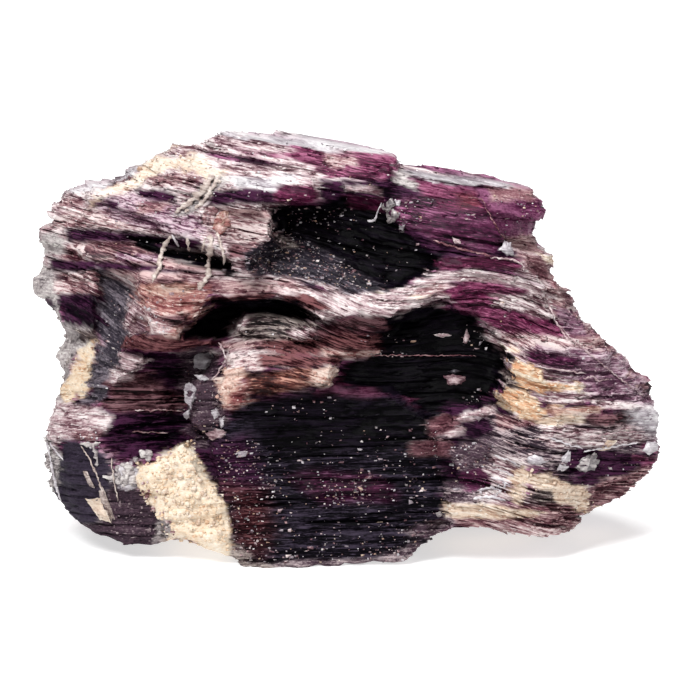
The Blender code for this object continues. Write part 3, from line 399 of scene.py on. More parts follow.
    Zone("cream", ((22.4, 6), (22.6, 8.8), (22.9, 9.8), (24.5, 11), (25.7, 10), (27.6, 9.8), (29.5, 9),
                   (32.4, 8), (35.4, 6.5), (35.2, 5.5), (34.4, 3.8), (31.9, 3.9), (29, 5.7), (27.6, 7.2),
                   (25.7, 8.4), (24.3, 5.1)), 0, 0.5, 0.6, 0.2),
    Zone("brown_grey", ((25, 5.8), (26.6, 7.3), (28.4, 7.6), (28.6, 6.2), (29.6, 5.4), (27, 5.2)),
         -0.3, 0.8, 0.4, 0.2),
    Zone("mauve", ((35.6, 8.4), (42.6, 10.6), (44.4, 9), (38, 5), (34.6, 4.6)), -0.15, 0.9, 0.1, 0.3),
    Zone("mauve", ((13, 5), (31, 5.2), (34.4, 3.4), (31, 0), (19, 0.4), (15, 2)), -0.3, 1.2, 0.1, 0.3),
    Zone("pink", ((20, 2.6), (27, 2.4), (32, 1.8), (31, 0), (20, 0.4)), 0.1, 1.0, 0.1, 0.3),
    Zone("cream", ((13, 5.4), (20, 5.2), (24.6, 4.5), (28, 4.1), (26, 3.1), (18, 3.1), (13.6, 3.3)),
         0, 0.7, 0.2, 0.2),
    # The crumbly golden bank low on the left.
    Zone("gold", ((-30.6, 11.4), (-30.8, 9.1), (-30, 7.7), (-28.6, 6.3), (-28.6, 4.7), (-27.1, 3.1),
                  (-26.6, 0.8), (-24.3, 0.4), (-21.4, -0.8), (-17, -2.4), (-16.9, 0.9), (-18, 3.1),
                  (-18.3, 6.6), (-19.3, 8.5), (-20.7, 9.7), (-21.4, 11.3), (-22, 14), (-23.2, 13.5),
                  (-24.3, 13.1), (-25.2, 12.4), (-27.9, 11.5), (-28.9, 10.9)), 0.35, 0.1, 1.0, 0.2),
    Zone("crust", ((-27.8, 3), (-25, 3.4), (-25.4, 0.6), (-28, 0)), -0.2, 0.2, 0.8, 0.3),
    Zone("pearl", ((-33.6, 9), (-33.2, 10.8), (-31.2, 11), (-30.2, 9.6), (-30.6, 7.6), (-32.8, 7.2)),
         0.2, 0.1, 0.7, 0.2),
)

# Strings of pale mineral that lie over the ledges: palette and points in across, rise and width.
VEINS = (
    ("bone", ((-25.4, 43.3, 0.7), (-26.3, 42, 1), (-26.7, 41, 0.8), (-27, 39.8, 1), (-26.9, 38.8, 0.9),
               (-27.5, 37.8, 0.8), (-28, 36.6, 0.5))),
    ("bone", ((-19.7, 43.4, 0.9), (-19.8, 41, 1.2), (-20.1, 39, 1.1), (-20.1, 37.4, 1), (-20.6, 36.6, 1.3),
               (-21.6, 35.7, 1.2))),
    ("bone", ((-20.5, 43, 0.5), (-21, 40.9, 0.4))),
    ("bone", ((-18.8, 43.6, 0.8), (-18.3, 41.8, 0.6), (-17.8, 40.4, 0.8), (-17.9, 39, 0.5))),
    ("bone", ((-23.1, 43, 0.5), (-22.8, 41, 0.7))),
    ("pearl", ((-25.3, 43.4, 0.6), (-24.4, 41.7, 0.5))),
    ("bone", ((-24.8, 46.5, 0.9), (-22.8, 48, 1), (-21.4, 49, 1.3), (-20.4, 50.4, 1.3), (-19.4, 51.9, 1))),
    ("bone", ((-22, 47, 0.5), (-20.4, 48.6, 0.8), (-19.2, 50.6, 0.9), (-18.4, 51.8, 0.7))),
    ("bone", ((-38.2, 13.4, 0.25), (-37, 11.6, 0.3), (-35.7, 8.8, 0.35), (-34.8, 6, 0.3), (-33.7, 3.2, 0.3))),
    ("bone", ((-33.9, 11.8, 0.2), (-33.6, 9.1, 0.3), (-32.9, 5.6, 0.2))),
    ("crust", ((-36.5, 13.7, 0.6), (-36, 12, 0.8), (-35.9, 10.4, 0.5))),
    ("crust", ((-35, 9, 0.9), (-33.4, 8.9, 0.8))),
    ("crust", ((-38.4, 13.8, 0.5), (-36.8, 13.4, 0.9), (-35.4, 13.9, 0.6))),
    ("pearl", ((-43.2, 14, 0.3), (-42.6, 11, 0.5), (-41.9, 7.6, 0.5), (-41, 5, 0.3))),
    ("pearl", ((-42.7, 13.8, 0.3), (-41.6, 12.2, 0.4), (-40.8, 11.3, 0.3))),
    ("pink", ((-30.5, 18.4, 0.2), (-27, 18.5, 0.25), (-23.8, 18.3, 0.2))),
    ("pink", ((-31, 15.4, 0.2), (-26, 15.2, 0.2))),
    ("mauve", ((11.8, 42.6, 0.2), (16, 41.3, 0.3), (20, 40.4, 0.25))),
    ("silver", ((19.9, 40.1, 0.3), (22.6, 39.9, 0.35), (24.4, 39.3, 0.35), (24.7, 38.3, 0.2))),
    ("mauve", ((16.9, 48.8, 0.2), (18.8, 48.5, 0.25), (19.6, 46.8, 0.2), (20.6, 44.9, 0.3),
               (22, 42.9, 0.25))),
    ("silver", ((27.8, 35, 0.3), (28.6, 32.8, 0.25), (29.2, 31.4, 0.3), (30.6, 29, 0.3), (31.1, 28.2, 0.3))),
    ("silver", ((29, 31.3, 0.3), (32, 28.1, 0.25), (36.4, 24.6, 0.25), (41.9, 20.4, 0.25))),
    ("mauve", ((3, 26.3, 0.15), (8, 26.2, 0.15), (12, 26.2, 0.2), (18, 26.2, 0.1))),
    ("silver", ((27.6, 15.9, 0.2), (31, 15.1, 0.35), (34, 15.4, 0.2))),
    ("pearl", ((28, 14.7, 0.3), (31, 13.6, 0.45), (33, 13, 0.25))),
    ("silver", ((29, 16.3, 0.2), (33.6, 15.7, 0.25))),
    ("silver", ((34, 14.6, 0.25), (38, 15.3, 0.3), (42, 15.4, 0.2))),
    ("pearl", ((33, 12.5, 0.2), (37, 13.2, 0.3), (41, 13.8, 0.25))),
    ("silver", ((22, 15.5, 0.2), (25, 14.4, 0.25), (27.6, 14.2, 0.2))),
    ("silver", ((21.6, 14.3, 0.2), (24, 13.2, 0.3), (26, 13, 0.2))),
    ("pearl", ((20.2, 12.2, 0.25), (22.4, 11.5, 0.3), (24, 10.6, 0.3))),
    ("pearl", ((20.2, 10.2, 0.2), (22, 9.8, 0.3), (23.2, 9.1, 0.2))),
    ("pearl", ((20, 9, 0.25), (21.6, 8.6, 0.35), (22.6, 7.7, 0.2))),
    ("pearl", ((18, 7.1, 0.4), (20, 7.6, 0.5), (21.6, 7, 0.4))),
    ("pearl", ((17.4, 6, 0.4), (20, 6.3, 0.45), (22, 5.7, 0.3))),
    ("silver", ((26, 24.7, 0.25), (29.6, 24.2, 0.3), (33.6, 23.6, 0.3))),
    ("silver", ((33.2, 22.8, 0.4), (34.6, 23.3, 0.3), (35.4, 22.5, 0.3), (36.9, 22.9, 0.2))),
    ("pearl", ((4.5, 47.9, 0.3), (4, 46.8, 0.35), (3.7, 45.8, 0.4), (3.2, 45.4, 0.5), (2.5, 45.5, 0.4))),
    ("silver", ((-18.6, 28.2, 0.3), (-17.4, 25.6, 0.3), (-19.6, 22.6, 0.25))),
)

# Loose plates of mica: palette and outline in across and rise.
FLAKES = (
    ("pearl", ((21, 41.2), (21.9, 42.5), (22.8, 42.2), (23.4, 40.3), (22.3, 40.4))),
    ("pearl", ((-23.1, 25.8), (-21.6, 26.3), (-20.2, 26.6), (-19.1, 25.8), (-20.6, 24.1), (-22.2, 24.3))),
    ("pearl", ((-23.6, 21.8), (-22.6, 22.5), (-21.7, 21.6), (-22.1, 19.9), (-22.5, 18.7), (-23.4, 20))),
    ("pearl", ((-23.8, 17.9), (-22.8, 18.7), (-22.5, 17.7), (-23.2, 17.1))),
    ("pearl", ((-22.2, 23.4), (-20.8, 23.4), (-19.9, 22.8), (-21, 22.5))),
    ("pearl", ((-19.7, 18.3), (-18.9, 18.9), (-18.4, 17.6), (-19.3, 17.2))),
    ("pearl", ((-18.6, 17.2), (-17.8, 17.7), (-17.8, 16.2), (-18.4, 15.8))),
    ("silver", ((-20.4, 15.2), (-19, 15.9), (-17.2, 15.5), (-18.2, 14.2), (-19.8, 14.3))),
    ("silver", ((13.3, 23.3), (14.5, 23.5), (16.6, 23.2), (15.8, 22.1), (13.9, 22))),
    ("slate", ((13.8, 23.9), (14.8, 24.3), (15.7, 24), (14.8, 23.7))),
    ("silver", ((16, 28), (16.4, 29.6), (16.6, 30.2), (17, 28.9), (16.6, 27.9))),
    ("silver", ((11.8, 29.2), (13.4, 29.4), (14.6, 29.1), (13, 28.8))),
    ("pearl", ((24.8, 11.7), (26.4, 12.2), (28.2, 11.3), (27, 10.6), (25.4, 10.8))),
    ("pearl", ((29.3, 9.9), (30, 11.7), (31.1, 12.8), (31.3, 10.7), (30.4, 9.7))),
    ("crust", ((31.7, 10.4), (33, 11.7), (34.6, 12.3), (35.5, 11), (34.6, 9.9), (32.7, 9.5))),
    ("cream", ((35, 12.6), (36.4, 14.1), (38.1, 14.2), (37, 12.9))),
    ("pearl", ((41.5, 12.6), (42.3, 13.9), (43.7, 13.9), (43.9, 12.8), (42.6, 11.9))),
    ("pink", ((-21, 44.9), (-20.7, 47), (-19.6, 47.7), (-18.7, 46.9), (-19.5, 45.2), (-20.3, 44.2))),
    ("peach", ((-19.6, 44.3), (-19, 46.1), (-17.8, 47), (-17.2, 46.5), (-17.7, 44.9), (-18.7, 43.7))),
    ("crust", ((4.4, 47.7), (5.2, 48), (5.9, 48.7), (6.4, 47.7), (5.4, 46.7), (4.7, 46.9))),
    ("crust", ((5.2, 46.5), (6.2, 47), (7.1, 46.2), (6.4, 45.2), (5.4, 45))),
    ("pearl", ((6.5, 48.3), (7.2, 48.3), (7, 47.3), (6.4, 47.6))),
    ("pearl", ((7, 45), (7.9, 44.8), (7.5, 44), (7, 44.3))),
    ("pink", ((-39.7, 42.1), (-36.8, 41.9), (-35.5, 41), (-33.4, 40.3), (-35.2, 39.9), (-37.6, 40.2))),
    ("silver", ((14.6, 43), (15.6, 42.6), (15.9, 42), (14.9, 42.1))),
    ("bone", ((-35.5, 8.6), (-34.6, 6.3), (-33.4, 3.1), (-33.9, 2.6), (-35, 4.5), (-35.7, 6.6))),
    ("cream", ((-37.5, 5.8), (-35.4, 6.1), (-33.9, 2.5), (-35.5, 2.9), (-36.6, 4.5))),
    ("bone", ((-38.1, 10), (-37.3, 9.7), (-36.2, 7.3), (-37.1, 7.8))),
    ("crust", ((-34, 8.6), (-32.6, 9.4), (-31.4, 9), (-32.8, 8.3))),
    ("crust", ((12, 3.8), (12.8, 4.2), (13.3, 3.6), (12.6, 3.3))),
)

# Where crumbs lie: palette, outline, crumbs to a square millimetre, and their usual size.
CRUMBLY_PLACES = (
    ("gold", ((-30.7, 11.4), (-27, 11.8), (-23.5, 13.8), (-22, 14.2), (-20.6, 9.6), (-18.2, 6.8),
              (-17.9, 3), (-17, -2), (-24, 0.2), (-26.8, 1), (-28.8, 5.5), (-30.8, 9)), 2.4, 0.5),
    ("cream", ((-29, 11), (-23.5, 12.6), (-22, 10), (-19, 6), (-18, 1), (-26, 3), (-27, 8)), 1.2, 0.62),
    ("pink", ((-30.4, 9), (-28, 9.4), (-26, 4), (-24.4, 0.8), (-27, 1), (-28.6, 5)), 1.4, 0.5),
    ("crust", ((-33.5, 7.6), (-33.2, 10.7), (-31.2, 10.9), (-30.4, 9.4), (-30.8, 7.5)), 3.0, 0.9),
    ("crust", ((-30.6, 11), (-29.8, 12.5), (-28.4, 12.6), (-28.2, 11.4)), 3.0, 0.9),
    ("crust", ((-28, 3), (-25.4, 3.4), (-25.4, 0.6), (-27.6, 0.4)), 1.5, 0.6),
    ("cream", ((-38.2, 47.6), (-30, 52), (-30, 53.4), (-25, 56), (-20.6, 54.4), (-26, 53), (-35, 48.6)),
     1.2, 0.45),
    ("crust", ((-25, 46.4), (-22.8, 48.6), (-20.2, 51), (-17.8, 51.6), (-17.6, 50), (-21, 47.4)), 2.0, 0.45),
    ("crust", ((-45, 39), (-43, 39), (-41.4, 33), (-40.6, 28.4), (-43.6, 28.6)), 1.8, 0.5),
    ("crust", ((-43.6, 28.4), (-40, 29.4), (-39.4, 26), (-41, 22), (-43, 22)), 1.8, 0.5),
    ("gold", ((-36.6, 28.2), (-38.8, 26.8), (-40.2, 22.8), (-41.8, 20.6), (-38.2, 21), (-37.2, 24)),
     2.0, 0.4),
    ("pink", ((-21.2, 45), (-20.8, 47.2), (-19.4, 47.6), (-18.6, 46.2), (-19.6, 44.6)), 6.0, 0.95),
    ("salmon", ((-19.6, 43.8), (-19, 46), (-17.6, 46.8), (-17.2, 45), (-18.2, 43.4)), 6.0, 0.85),
    ("bone", ((-24, 46.4), (-19.6, 50.6), (-18.2, 52), (-17.8, 50.2), (-21.6, 47)), 2.0, 0.55),
    ("peach", ((-19.4, 19.2), (-18.2, 23.8), (-15.8, 23.6), (-16.6, 20.4)), 2.5, 0.45),
    ("peach", ((-5.4, 22.4), (-5, 24.2), (-2.2, 24.2), (-2.8, 22)), 2.5, 0.4),
    ("pearl", ((-30, 33), (-28, 33.2), (-25.4, 29.8), (-26.4, 28.8), (-29.8, 31.2)), 2.0, 0.35),
    ("gold", ((21, 20.8), (24, 21), (27, 19.6), (27.4, 18), (24, 17.8)), 1.5, 0.4),
    ("gold", ((23, 26.4), (26.4, 24.6), (29, 23), (32.6, 21.8), (29, 21.2), (25, 22.8)), 1.2, 0.35),
    ("cream", ((22.6, 5.8), (24.6, 10.4), (27, 10), (29.4, 8.6), (34, 6.8), (35.2, 5.6), (32, 4), (28, 7)),
     1.6, 0.5),
    ("pearl", ((17.6, 5.5), (18, 7), (21.6, 9), (22.6, 8), (22, 5.6)), 1.5, 0.4),
    ("crust", ((-42, 14.6), (-41.6, 10), (-42.4, 7), (-43.6, 9), (-43.8, 14)), 1.5, 0.4),
    ("speckled", ((-33, 6), (-28.4, 5), (-27.4, 0.4), (-34, 1)), 2.0, 0.4),
    ("pearl", ((-38.6, 15), (-35.6, 15.4), (-35.4, 13), (-38, 13)), 2.0, 0.4),
)

# Where small bright scales lie on the mica: outline and scales to a square millimetre.
SPARKLES = (
    (((-10, 47), (4, 48), (11, 43), (12, 39), (5, 36), (-9, 42)), 0.5),
    (((-8.6, 47), (-1, 47.8), (-1, 42), (-8, 43)), 0.9),
    (((-15, 40), (-8.4, 44), (-1.6, 40), (4, 36), (0, 35.4), (-7, 37), (-14, 38.4)), 6.0),
    (((-15.4, 40.6), (-10.6, 41.2), (-10.4, 38), (-16, 37.6)), 2.5),
    (((6, 48.4), (12, 48.4), (12, 45), (7, 44.4)), 2.5),
    (((-20.6, 14), (13, 17), (13, 2), (10, -2.6), (-16, -3.4)), 0.8),
    (((-12.4, 8.8), (-9.6, 9), (-9.6, 6.6), (-12, 7)), 6.0),
    (((-4.4, 9), (2.4, 8.8), (2.4, 5), (-3.6, 5)), 3.5),
    (((-14, 1.8), (-11.8, 1.8), (-11.8, 0), (-14, 0)), 4.0),
    (((8, 9), (10.6, 9), (10.6, 7), (8, 7)), 3.0),
    (((-17, -1), (9.6, -0.8), (8, -2.8), (-15, -3.2)), 2.0),
    (((4, 1.3), (9.6, 1.6), (9.6, -0.2), (4, -0.4)), 2.0),
    (((-20, 14), (-12.6, 14.4), (-12, 0), (-16, -2), (-18, 5)), 2.2),
    (((-13, 20), (-1, 20.4), (-2, 17), (-13, 17)), 0.9),
    (((15.6, 31), (20, 30.6), (20.4, 27), (16, 26.6)), 1.6),
    (((2.6, 29.4), (9, 29.2), (9, 28), (1, 28)), 1.6),
    (((3, 27), (9, 27), (9, 26), (3, 26)), 2.0),
    (((14, 46.8), (18, 47), (18, 45.6), (14, 45.4)), 1.6),
    (((19.6, 49.6), (26.4, 49.4), (27.4, 45), (22.4, 43.2)), 1.6),
    (((-23.6, 24), (-19, 24), (-18, 15), (-22.6, 14)), 2.2),
    (((-36, 33), (-31, 36), (-30.4, 29), (-34, 21), (-37.6, 21)), 1.4),
    (((14.4, 14), (20.4, 15), (20.2, 6), (14, 6)), 2.2),
    (((21, 21), (16.6, 19), (16, 20.4), (20.6, 22.4)), 2.5),
    (((-40, 49), (-20, 56), (6, 52), (6, 50), (-20, 37), (-40, 40)), 0.5),
    (((-36, 49), (-24, 49), (-20.6, 43), (-33, 44)), 1.0),
    (((-30, 35.4), (-21, 35.6), (-22, 32), (-29.6, 32)), 0.9),
    (((20, 35), (29, 34), (33, 27), (40, 24), (43, 19), (26, 27), (20, 30)), 0.5),
    (((20, 17), (42, 16), (41, 8), (22, 12)), 0.7),
    (((-17, 32), (-3, 31), (-4, 27), (-17, 24)), 0.7),
)

# How far a zone's edge strays: smoothly, as a noise's size and its reach across and in rise, from
# layer to layer, and from block to block.
ZONE_WANDER = ((5.0, 1.0, 0.5), (1.5, 0.4, 0.25))
EDGE_FRAY = 1.6
EDGE_CHIPS = 0.9
CHIP_BLOCK = (3.0, 3.0)
# How it strays in crumbly places, as noises' seeds, reaches and sizes.
CRUMBLY_WANDER = ((0, 1.0, 2.6), (9, 0.6, 1.0))
# The width of a zone whose edge strays as far as that, and the least share of it in smaller ones.
WIDE_ZONE = 8.0
LEAST_STRAY = 0.25

# The sides and the back, with patches of other palettes where their noise passes from one level to
# another, and the sizes of the noise and of its blocks.
BACK_ZONE = Zone("purple", (), 0.1, 1.2, 0.15, 1)
BACK_PATCHES = (("silver", 0.1, 0.4), ("violet_black", -0.1, -0.4), ("magenta", -0.5, -0.6),
                ("cream", 0.85, 0.95))
BACK_NOISE = (12, 12, 3.5)
BACK_BLOCK = (9, 7)

# How steeply the books dip to the right, high up, low down and at the lower right, and to the back,
# and the heights and the places across between which that changes.
UPPER_DIP = 0.19
LOWER_DIP = -0.02
RIGHT_DIP = 0.14
BACK_DIP = 0.1
UPPER_BOOKS = (18, 42)
RIGHT_BOOKS = (14, 28)
# The fold half-way up: its rise, its length, where it is highest across and up, and its spread.
FOLD_RISE = 1.7
FOLD_LENGTH = 30
FOLD_TOP = 19
FOLD_HEIGHT = 33
FOLD_SPREAD = 7


def smooth_step(low, high, value):
    """0 below low, 1 above high, and a smooth rise between them."""
    share = np.clip((value - low) / (high - low), 0, 1)
    return share * share * (3 - 2 * share)


def unit(vectors):
    """The vectors at a length of one."""
    return vectors / np.maximum(np.linalg.norm(vectors, axis=1, keepdims=True), 1e-6)


def outline_box(outline):
    """The lowest and the highest across and rise of an outline."""
    corners = np.array(outline)
    return corners.min(axis=0), corners.max(axis=0)


def inside_distance(points, outline):
    """How far each point is inside a closed outline, negative outside it."""
    corners = np.array(outline, float)
    nearest = np.full(len(points), np.inf)
    inside = np.zeros(len(points), bool)
    for start, end in zip(corners, np.roll(corners, -1, axis=0)):
        edge = end - start
        along = np.clip(((points - start) @ edge) / (edge @ edge), 0, 1)
        gap = points - (start + along[:, None] * edge)
        nearest = np.minimum(nearest, np.hypot(gap[:, 0], gap[:, 1]))
        spans = (start[1] > points[:, 1]) != (end[1] > points[:, 1])
        if start[1] != end[1]:
            crossing = start[0] + (points[:, 1] - start[1]) * edge[0] / edge[1]
            inside ^= spans & (points[:, 0] < crossing)
    return np.where(inside, nearest, -nearest)


def cell_value(cells, seed):
    """A number from 0 to 1 for each whole-number cell, the same each run."""
    mixed = np.full(cells.shape[:-1], seed * 2654435761 % 2**32, np.uint32)
    for axis, factor in enumerate((374761393, 668265263, 2246822519)):
        mixed ^= cells[..., axis].astype(np.int64).astype(np.uint32) * np.uint32(factor)
        mixed = (mixed ^ (mixed >> np.uint32(15))) * np.uint32(2246822507)
        mixed ^= mixed >> np.uint32(13)
    return mixed / 2.0**32


def noise_at(points, scale, seed):
    """Smooth noise from -1 to 1, with lumps about `scale` across, one size or one for each axis."""
    spots = points / scale
    base = np.floor(spots)
    part = spots - base
    part = part * part * (3 - 2 * part)
    total = np.zeros(len(points))
    for corner in np.ndindex(2, 2, 2):
        weight = np.prod(np.where(corner, part, 1 - part), axis=1)
        total += weight * cell_value(base + corner, seed)
    return total * 2 - 1


def layer_value(layers, seed):
    """A number from 0 to 1 for each layer."""
    return cell_value(np.stack((layers, layers * 0, layers * 0), axis=-1), seed)


def chips_at(points, layers, size, seed):
    """A number from -1 to 1 that is even over each broken block of a layer and then jumps.

    The blocks' edges bend with a wider noise, and each layer's blocks are shifted.
    """
    size = np.array(size)
    bend = [noise_at(points, (*(0.8 * size), 1.5), seed + turn) for turn in (1, 2)]
    shift = [layer_value(layers, seed + turn) for turn in (3, 4)]
    blocks = points[:, :2] / size + 0.5 * np.column_stack(bend) + 9 * np.column_stack(shift)
    return cell_value(np.column_stack((np.floor(blocks), layers)), seed) * 2 - 1


def to_world(view):
    """World millimetres of points given by the front view's three sizes."""
    across, rise, depth = np.asarray(view, float).T
    world = (across, rise * TILT_SIN + depth * TILT_COS, rise * TILT_COS - depth * TILT_SIN)
    return np.stack(world, axis=-1) + VIEW_ZERO


def to_view(points):
    """Across, rise and depth in the front view of world millimetres."""
    across, back, height = (points - VIEW_ZERO).T
    rise = back * TILT_SIN + height * TILT_COS
    return np.stack((across, rise, back * TILT_COS - height * TILT_SIN), axis=-1)


def strata_height(points):
    """Height in the pile of mica books, whose bedding dips right and back and is folded mid-way."""
    across, back, height = (points - VIEW_ZERO).T
    upper = smooth_step(*UPPER_BOOKS, height)
    right = smooth_step(*RIGHT_BOOKS, across)
    dip = UPPER_DIP * upper + LOWER_DIP * (1 - upper) + RIGHT_DIP * right * (1 - upper)
    wave = np.cos((across - FOLD_TOP) * 2 * math.pi / FOLD_LENGTH)
    fold = FOLD_RISE * wave * np.exp(-(((height - FOLD_HEIGHT) / FOLD_SPREAD) ** 2))
    return height + dip * across + BACK_DIP * back - fold


def bedding_normal(points):
    """The direction straight up through the books at each point."""
    step = 0.2
    rise = [
        strata_height(points + step * axis) - strata_height(points - step * axis)
        for axis in np.eye(3)
    ]
    return unit(np.stack(rise, axis=-1))


def pile_place(points):
    """Across, back and height in the pile, in which every book of mica lies level."""
    return np.column_stack((points[:, :2], strata_height(points)))


def edge_shifts(points, layers):
    """How far the zones' edges stray at each point, on layered mica and in crumbly places."""
    layered = np.zeros((len(points), 2))
    layered[:, 0] = EDGE_FRAY * (layer_value(layers, 29) - 0.5)
    layered[:, 0] += EDGE_CHIPS * chips_at(points, layers, CHIP_BLOCK, 30)
    for seed, (size, across, rise) in enumerate(ZONE_WANDER, start=31):
        layered[:, 0] += across * noise_at(points, size, seed)
        layered[:, 1] += rise * noise_at(points, size, seed + 5)
    crumbly = np.column_stack([
        sum(reach * noise_at(points, size, seed + turn) for turn, reach, size in CRUMBLY_WANDER)
        for seed in (40, 41)
    ])
    return layered, crumbly


def back_values(points, layers):
    """A row of values for each point as if it lay on the back, in patches that follow the books."""
    values = np.tile(zone_row(BACK_ZONE), (len(points), 1))
    patches = noise_at(pile_place(points), BACK_NOISE, 41)
    patches += 0.5 * chips_at(points, LAYER_GROUPS[1][layers], BACK_BLOCK, 45)
    for palette, low, high in BACK_PATCHES:
        other = zone_row(BACK_ZONE._replace(palette=palette))
        values += (other - values) * smooth_step(low, high, patches)[:, None]
    return values


def zone_values(points, layers):
    """A row of values at each world point of a layer, from the zones and from the back."""
    view = to_view(points)
    front = 1 - smooth_step(*FRONT_DEPTH, view[:, 2])
    layered, crumbly = edge_shifts(points, layers)
    values = back_values(points, layers)
    for zone in ZONES:
        low, high = outline_box(zone.outline)
        narrow = np.clip((high - low).min() / WIDE_ZONE, LEAST_STRAY, 1)
        flat = view[:, :2] + layered * narrow * (1 - zone.crumbs)
        flat += crumbly * zone.crumbs
        within = ((flat > low - zone.soft) & (flat < high + zone.soft)).all(axis=1)
        near = np.flatnonzero(within & (front > 0))
        share = smooth_step(-zone.soft, zone.soft, inside_distance(flat[near], zone.outline))
        values[near] += (zone_row(zone) - values[near]) * (share * front[near])[:, None]
    return values


def zone_row(zone):
    """A zone's row of values, its colours in linear light."""
    colours = COLOUR_SHARE * (np.array(PALETTES[zone.palette]).ravel() / 255) ** 2.2
    return np.concatenate((colours, (zone.tone, zone.streaks, zone.crumbs)))


# How far layers stand out: as books, as parts of books and one by one, with their blocks' size.
REACHES = ((0.5, (9.0, 6.0)), (0.3, (5.0, 4.0)), (0.14, (2.6, 2.4)))
# The share of layers that have worn back into a crack, which the painted shade of set-back ledges makes dark,
# its depth and its blocks' size.
CRACKS = 0.14
CRACK_DEPTH = 0.7
CRACK_BLOCK = (16.0, 9.0)
# The size and height of the lumps in crumbly places.
LUMPS = ((3.2, 0.7), (1.4, 0.36), (0.7, 0.2))
# How far back the whole surface is set, so that ledges which stand out stay inside the solid.
SET_BACK = 0.2
# The middle colours between which mica is dark, in linear light.
DARK_RANGE = (0.004, 0.03)
# The share of the layers' reach that is left without streaks, and what crumbs and darkness take.
PLAIN_REACH = 0.5
CRUMBS_TAKE = 0.8
DARKNESS_TAKES = 0.4
# The least share of the lumps' height.
LEAST_LUMPS = 0.05
# How level with the bedding a face is where it steps up towards the top of its layer, how much of
# the way it goes, and how far short of that it stops.
LEVEL_RANGE = (0.6, 0.9)
LIFT_SHARE = 0.8
LIFT_GAP = 0.1
# How far up a face turns where it is painted lighter as a lit top.
TOP_RANGE = (0.55, 0.9)
# How much lighter the mica is painted: painted light on ledges that stand out and painted shade where they
# are set back, the painted sheen of its blocks, painted light and shade on lumps, and painted top light on
# faces that turn up.
PAINTED_LEDGE_LIGHT = 0.9
SHEENS = ((55, 0.5, (12.0, 8.0)), (57, 0.3, (4.0, 4.0)))
PAINTED_LUMP_LIGHT = 0.5
PAINTED_TOP_LIGHT = 0.3


def layer_plan(low, high):
    """The heights in the pile where layers end, and which book and part of a book each is in."""
    random = np.random.default_rng(5)
    count = int(1.3 * (high - low) / LAYER_THICKNESS) + 20
    thickness = LAYER_THICKNESS * random.lognormal(-0.12, LAYER_SPREAD, count)
    ends = low + np.cumsum(np.maximum(thickness, 5 * STEP_HALF))
    ends = ends[ends < high]
    draw = random.random(len(ends) + 1)
    groups = [np.cumsum(draw < share) for share in BOOK_ENDS]
    return ends, groups


LAYER_ENDS, LAYER_GROUPS = layer_plan(*PILE_SPAN)


def layer_reach(points, layers):
    """How far the edges of the layers stand out, level with the bedding."""
    reach = np.zeros(len(points))
    for turn, (group, (size, block)) in enumerate(zip(LAYER_GROUPS, REACHES)):
        reach += size * chips_at(points, group[layers], block, 60 + 10 * turn)
        reach += 0.5 * size * noise_at(points, (*(0.4 * np.array(block)), 1.0), 65 + 10 * turn)
    cracked = chips_at(points, LAYER_GROUPS[2][layers], CRACK_BLOCK, 97)
    reach -= CRACK_DEPTH * smooth_step(1 - 2 * CRACKS, 1 - 1.6 * CRACKS, cracked)
    return reach


def sliced(points, normals, triangles, heights, cuts):
    """The triangles cut at each height, with the cut points' places and normals.

    Two cuts lie close together at each layer's end, so the points of one never serve the other.
    """
    edges = np.sort(triangles[:, [0, 1, 1, 2, 2, 0]].reshape(-1, 2), axis=1)
    edges, used = np.unique(edges, axis=0, return_inverse=True)
    used = used.reshape(-1, 3)
    rising = np.take_along_axis(edges, np.argsort(heights[edges], axis=1, kind="stable"), axis=1)
    bottom, top = heights[rising].T
    first = np.searchsorted(cuts, bottom, "right")
    count = np.maximum(np.searchsorted(cuts, top, "left") - first, 0)
    start = len(points) + np.cumsum(count) - count

    owner = np.repeat(np.arange(len(edges)), count)
    cut = first[owner] + np.arange(len(owner)) - (start - len(points))[owner]
    share = ((cuts[cut] - bottom[owner]) / (top - bottom)[owner])[:, None]
    low, high = rising[owner].T
    all_points = np.concatenate((points, points[low] * (1 - share) + points[high] * share))
    all_normals = np.concatenate((normals, normals[low] * (1 - share) + normals[high] * share))
    all_heights = np.concatenate((heights, cuts[cut]))
    faces = slab_faces(triangles, heights, cuts, used, first, count, start)
    return all_points, all_normals, all_heights, faces


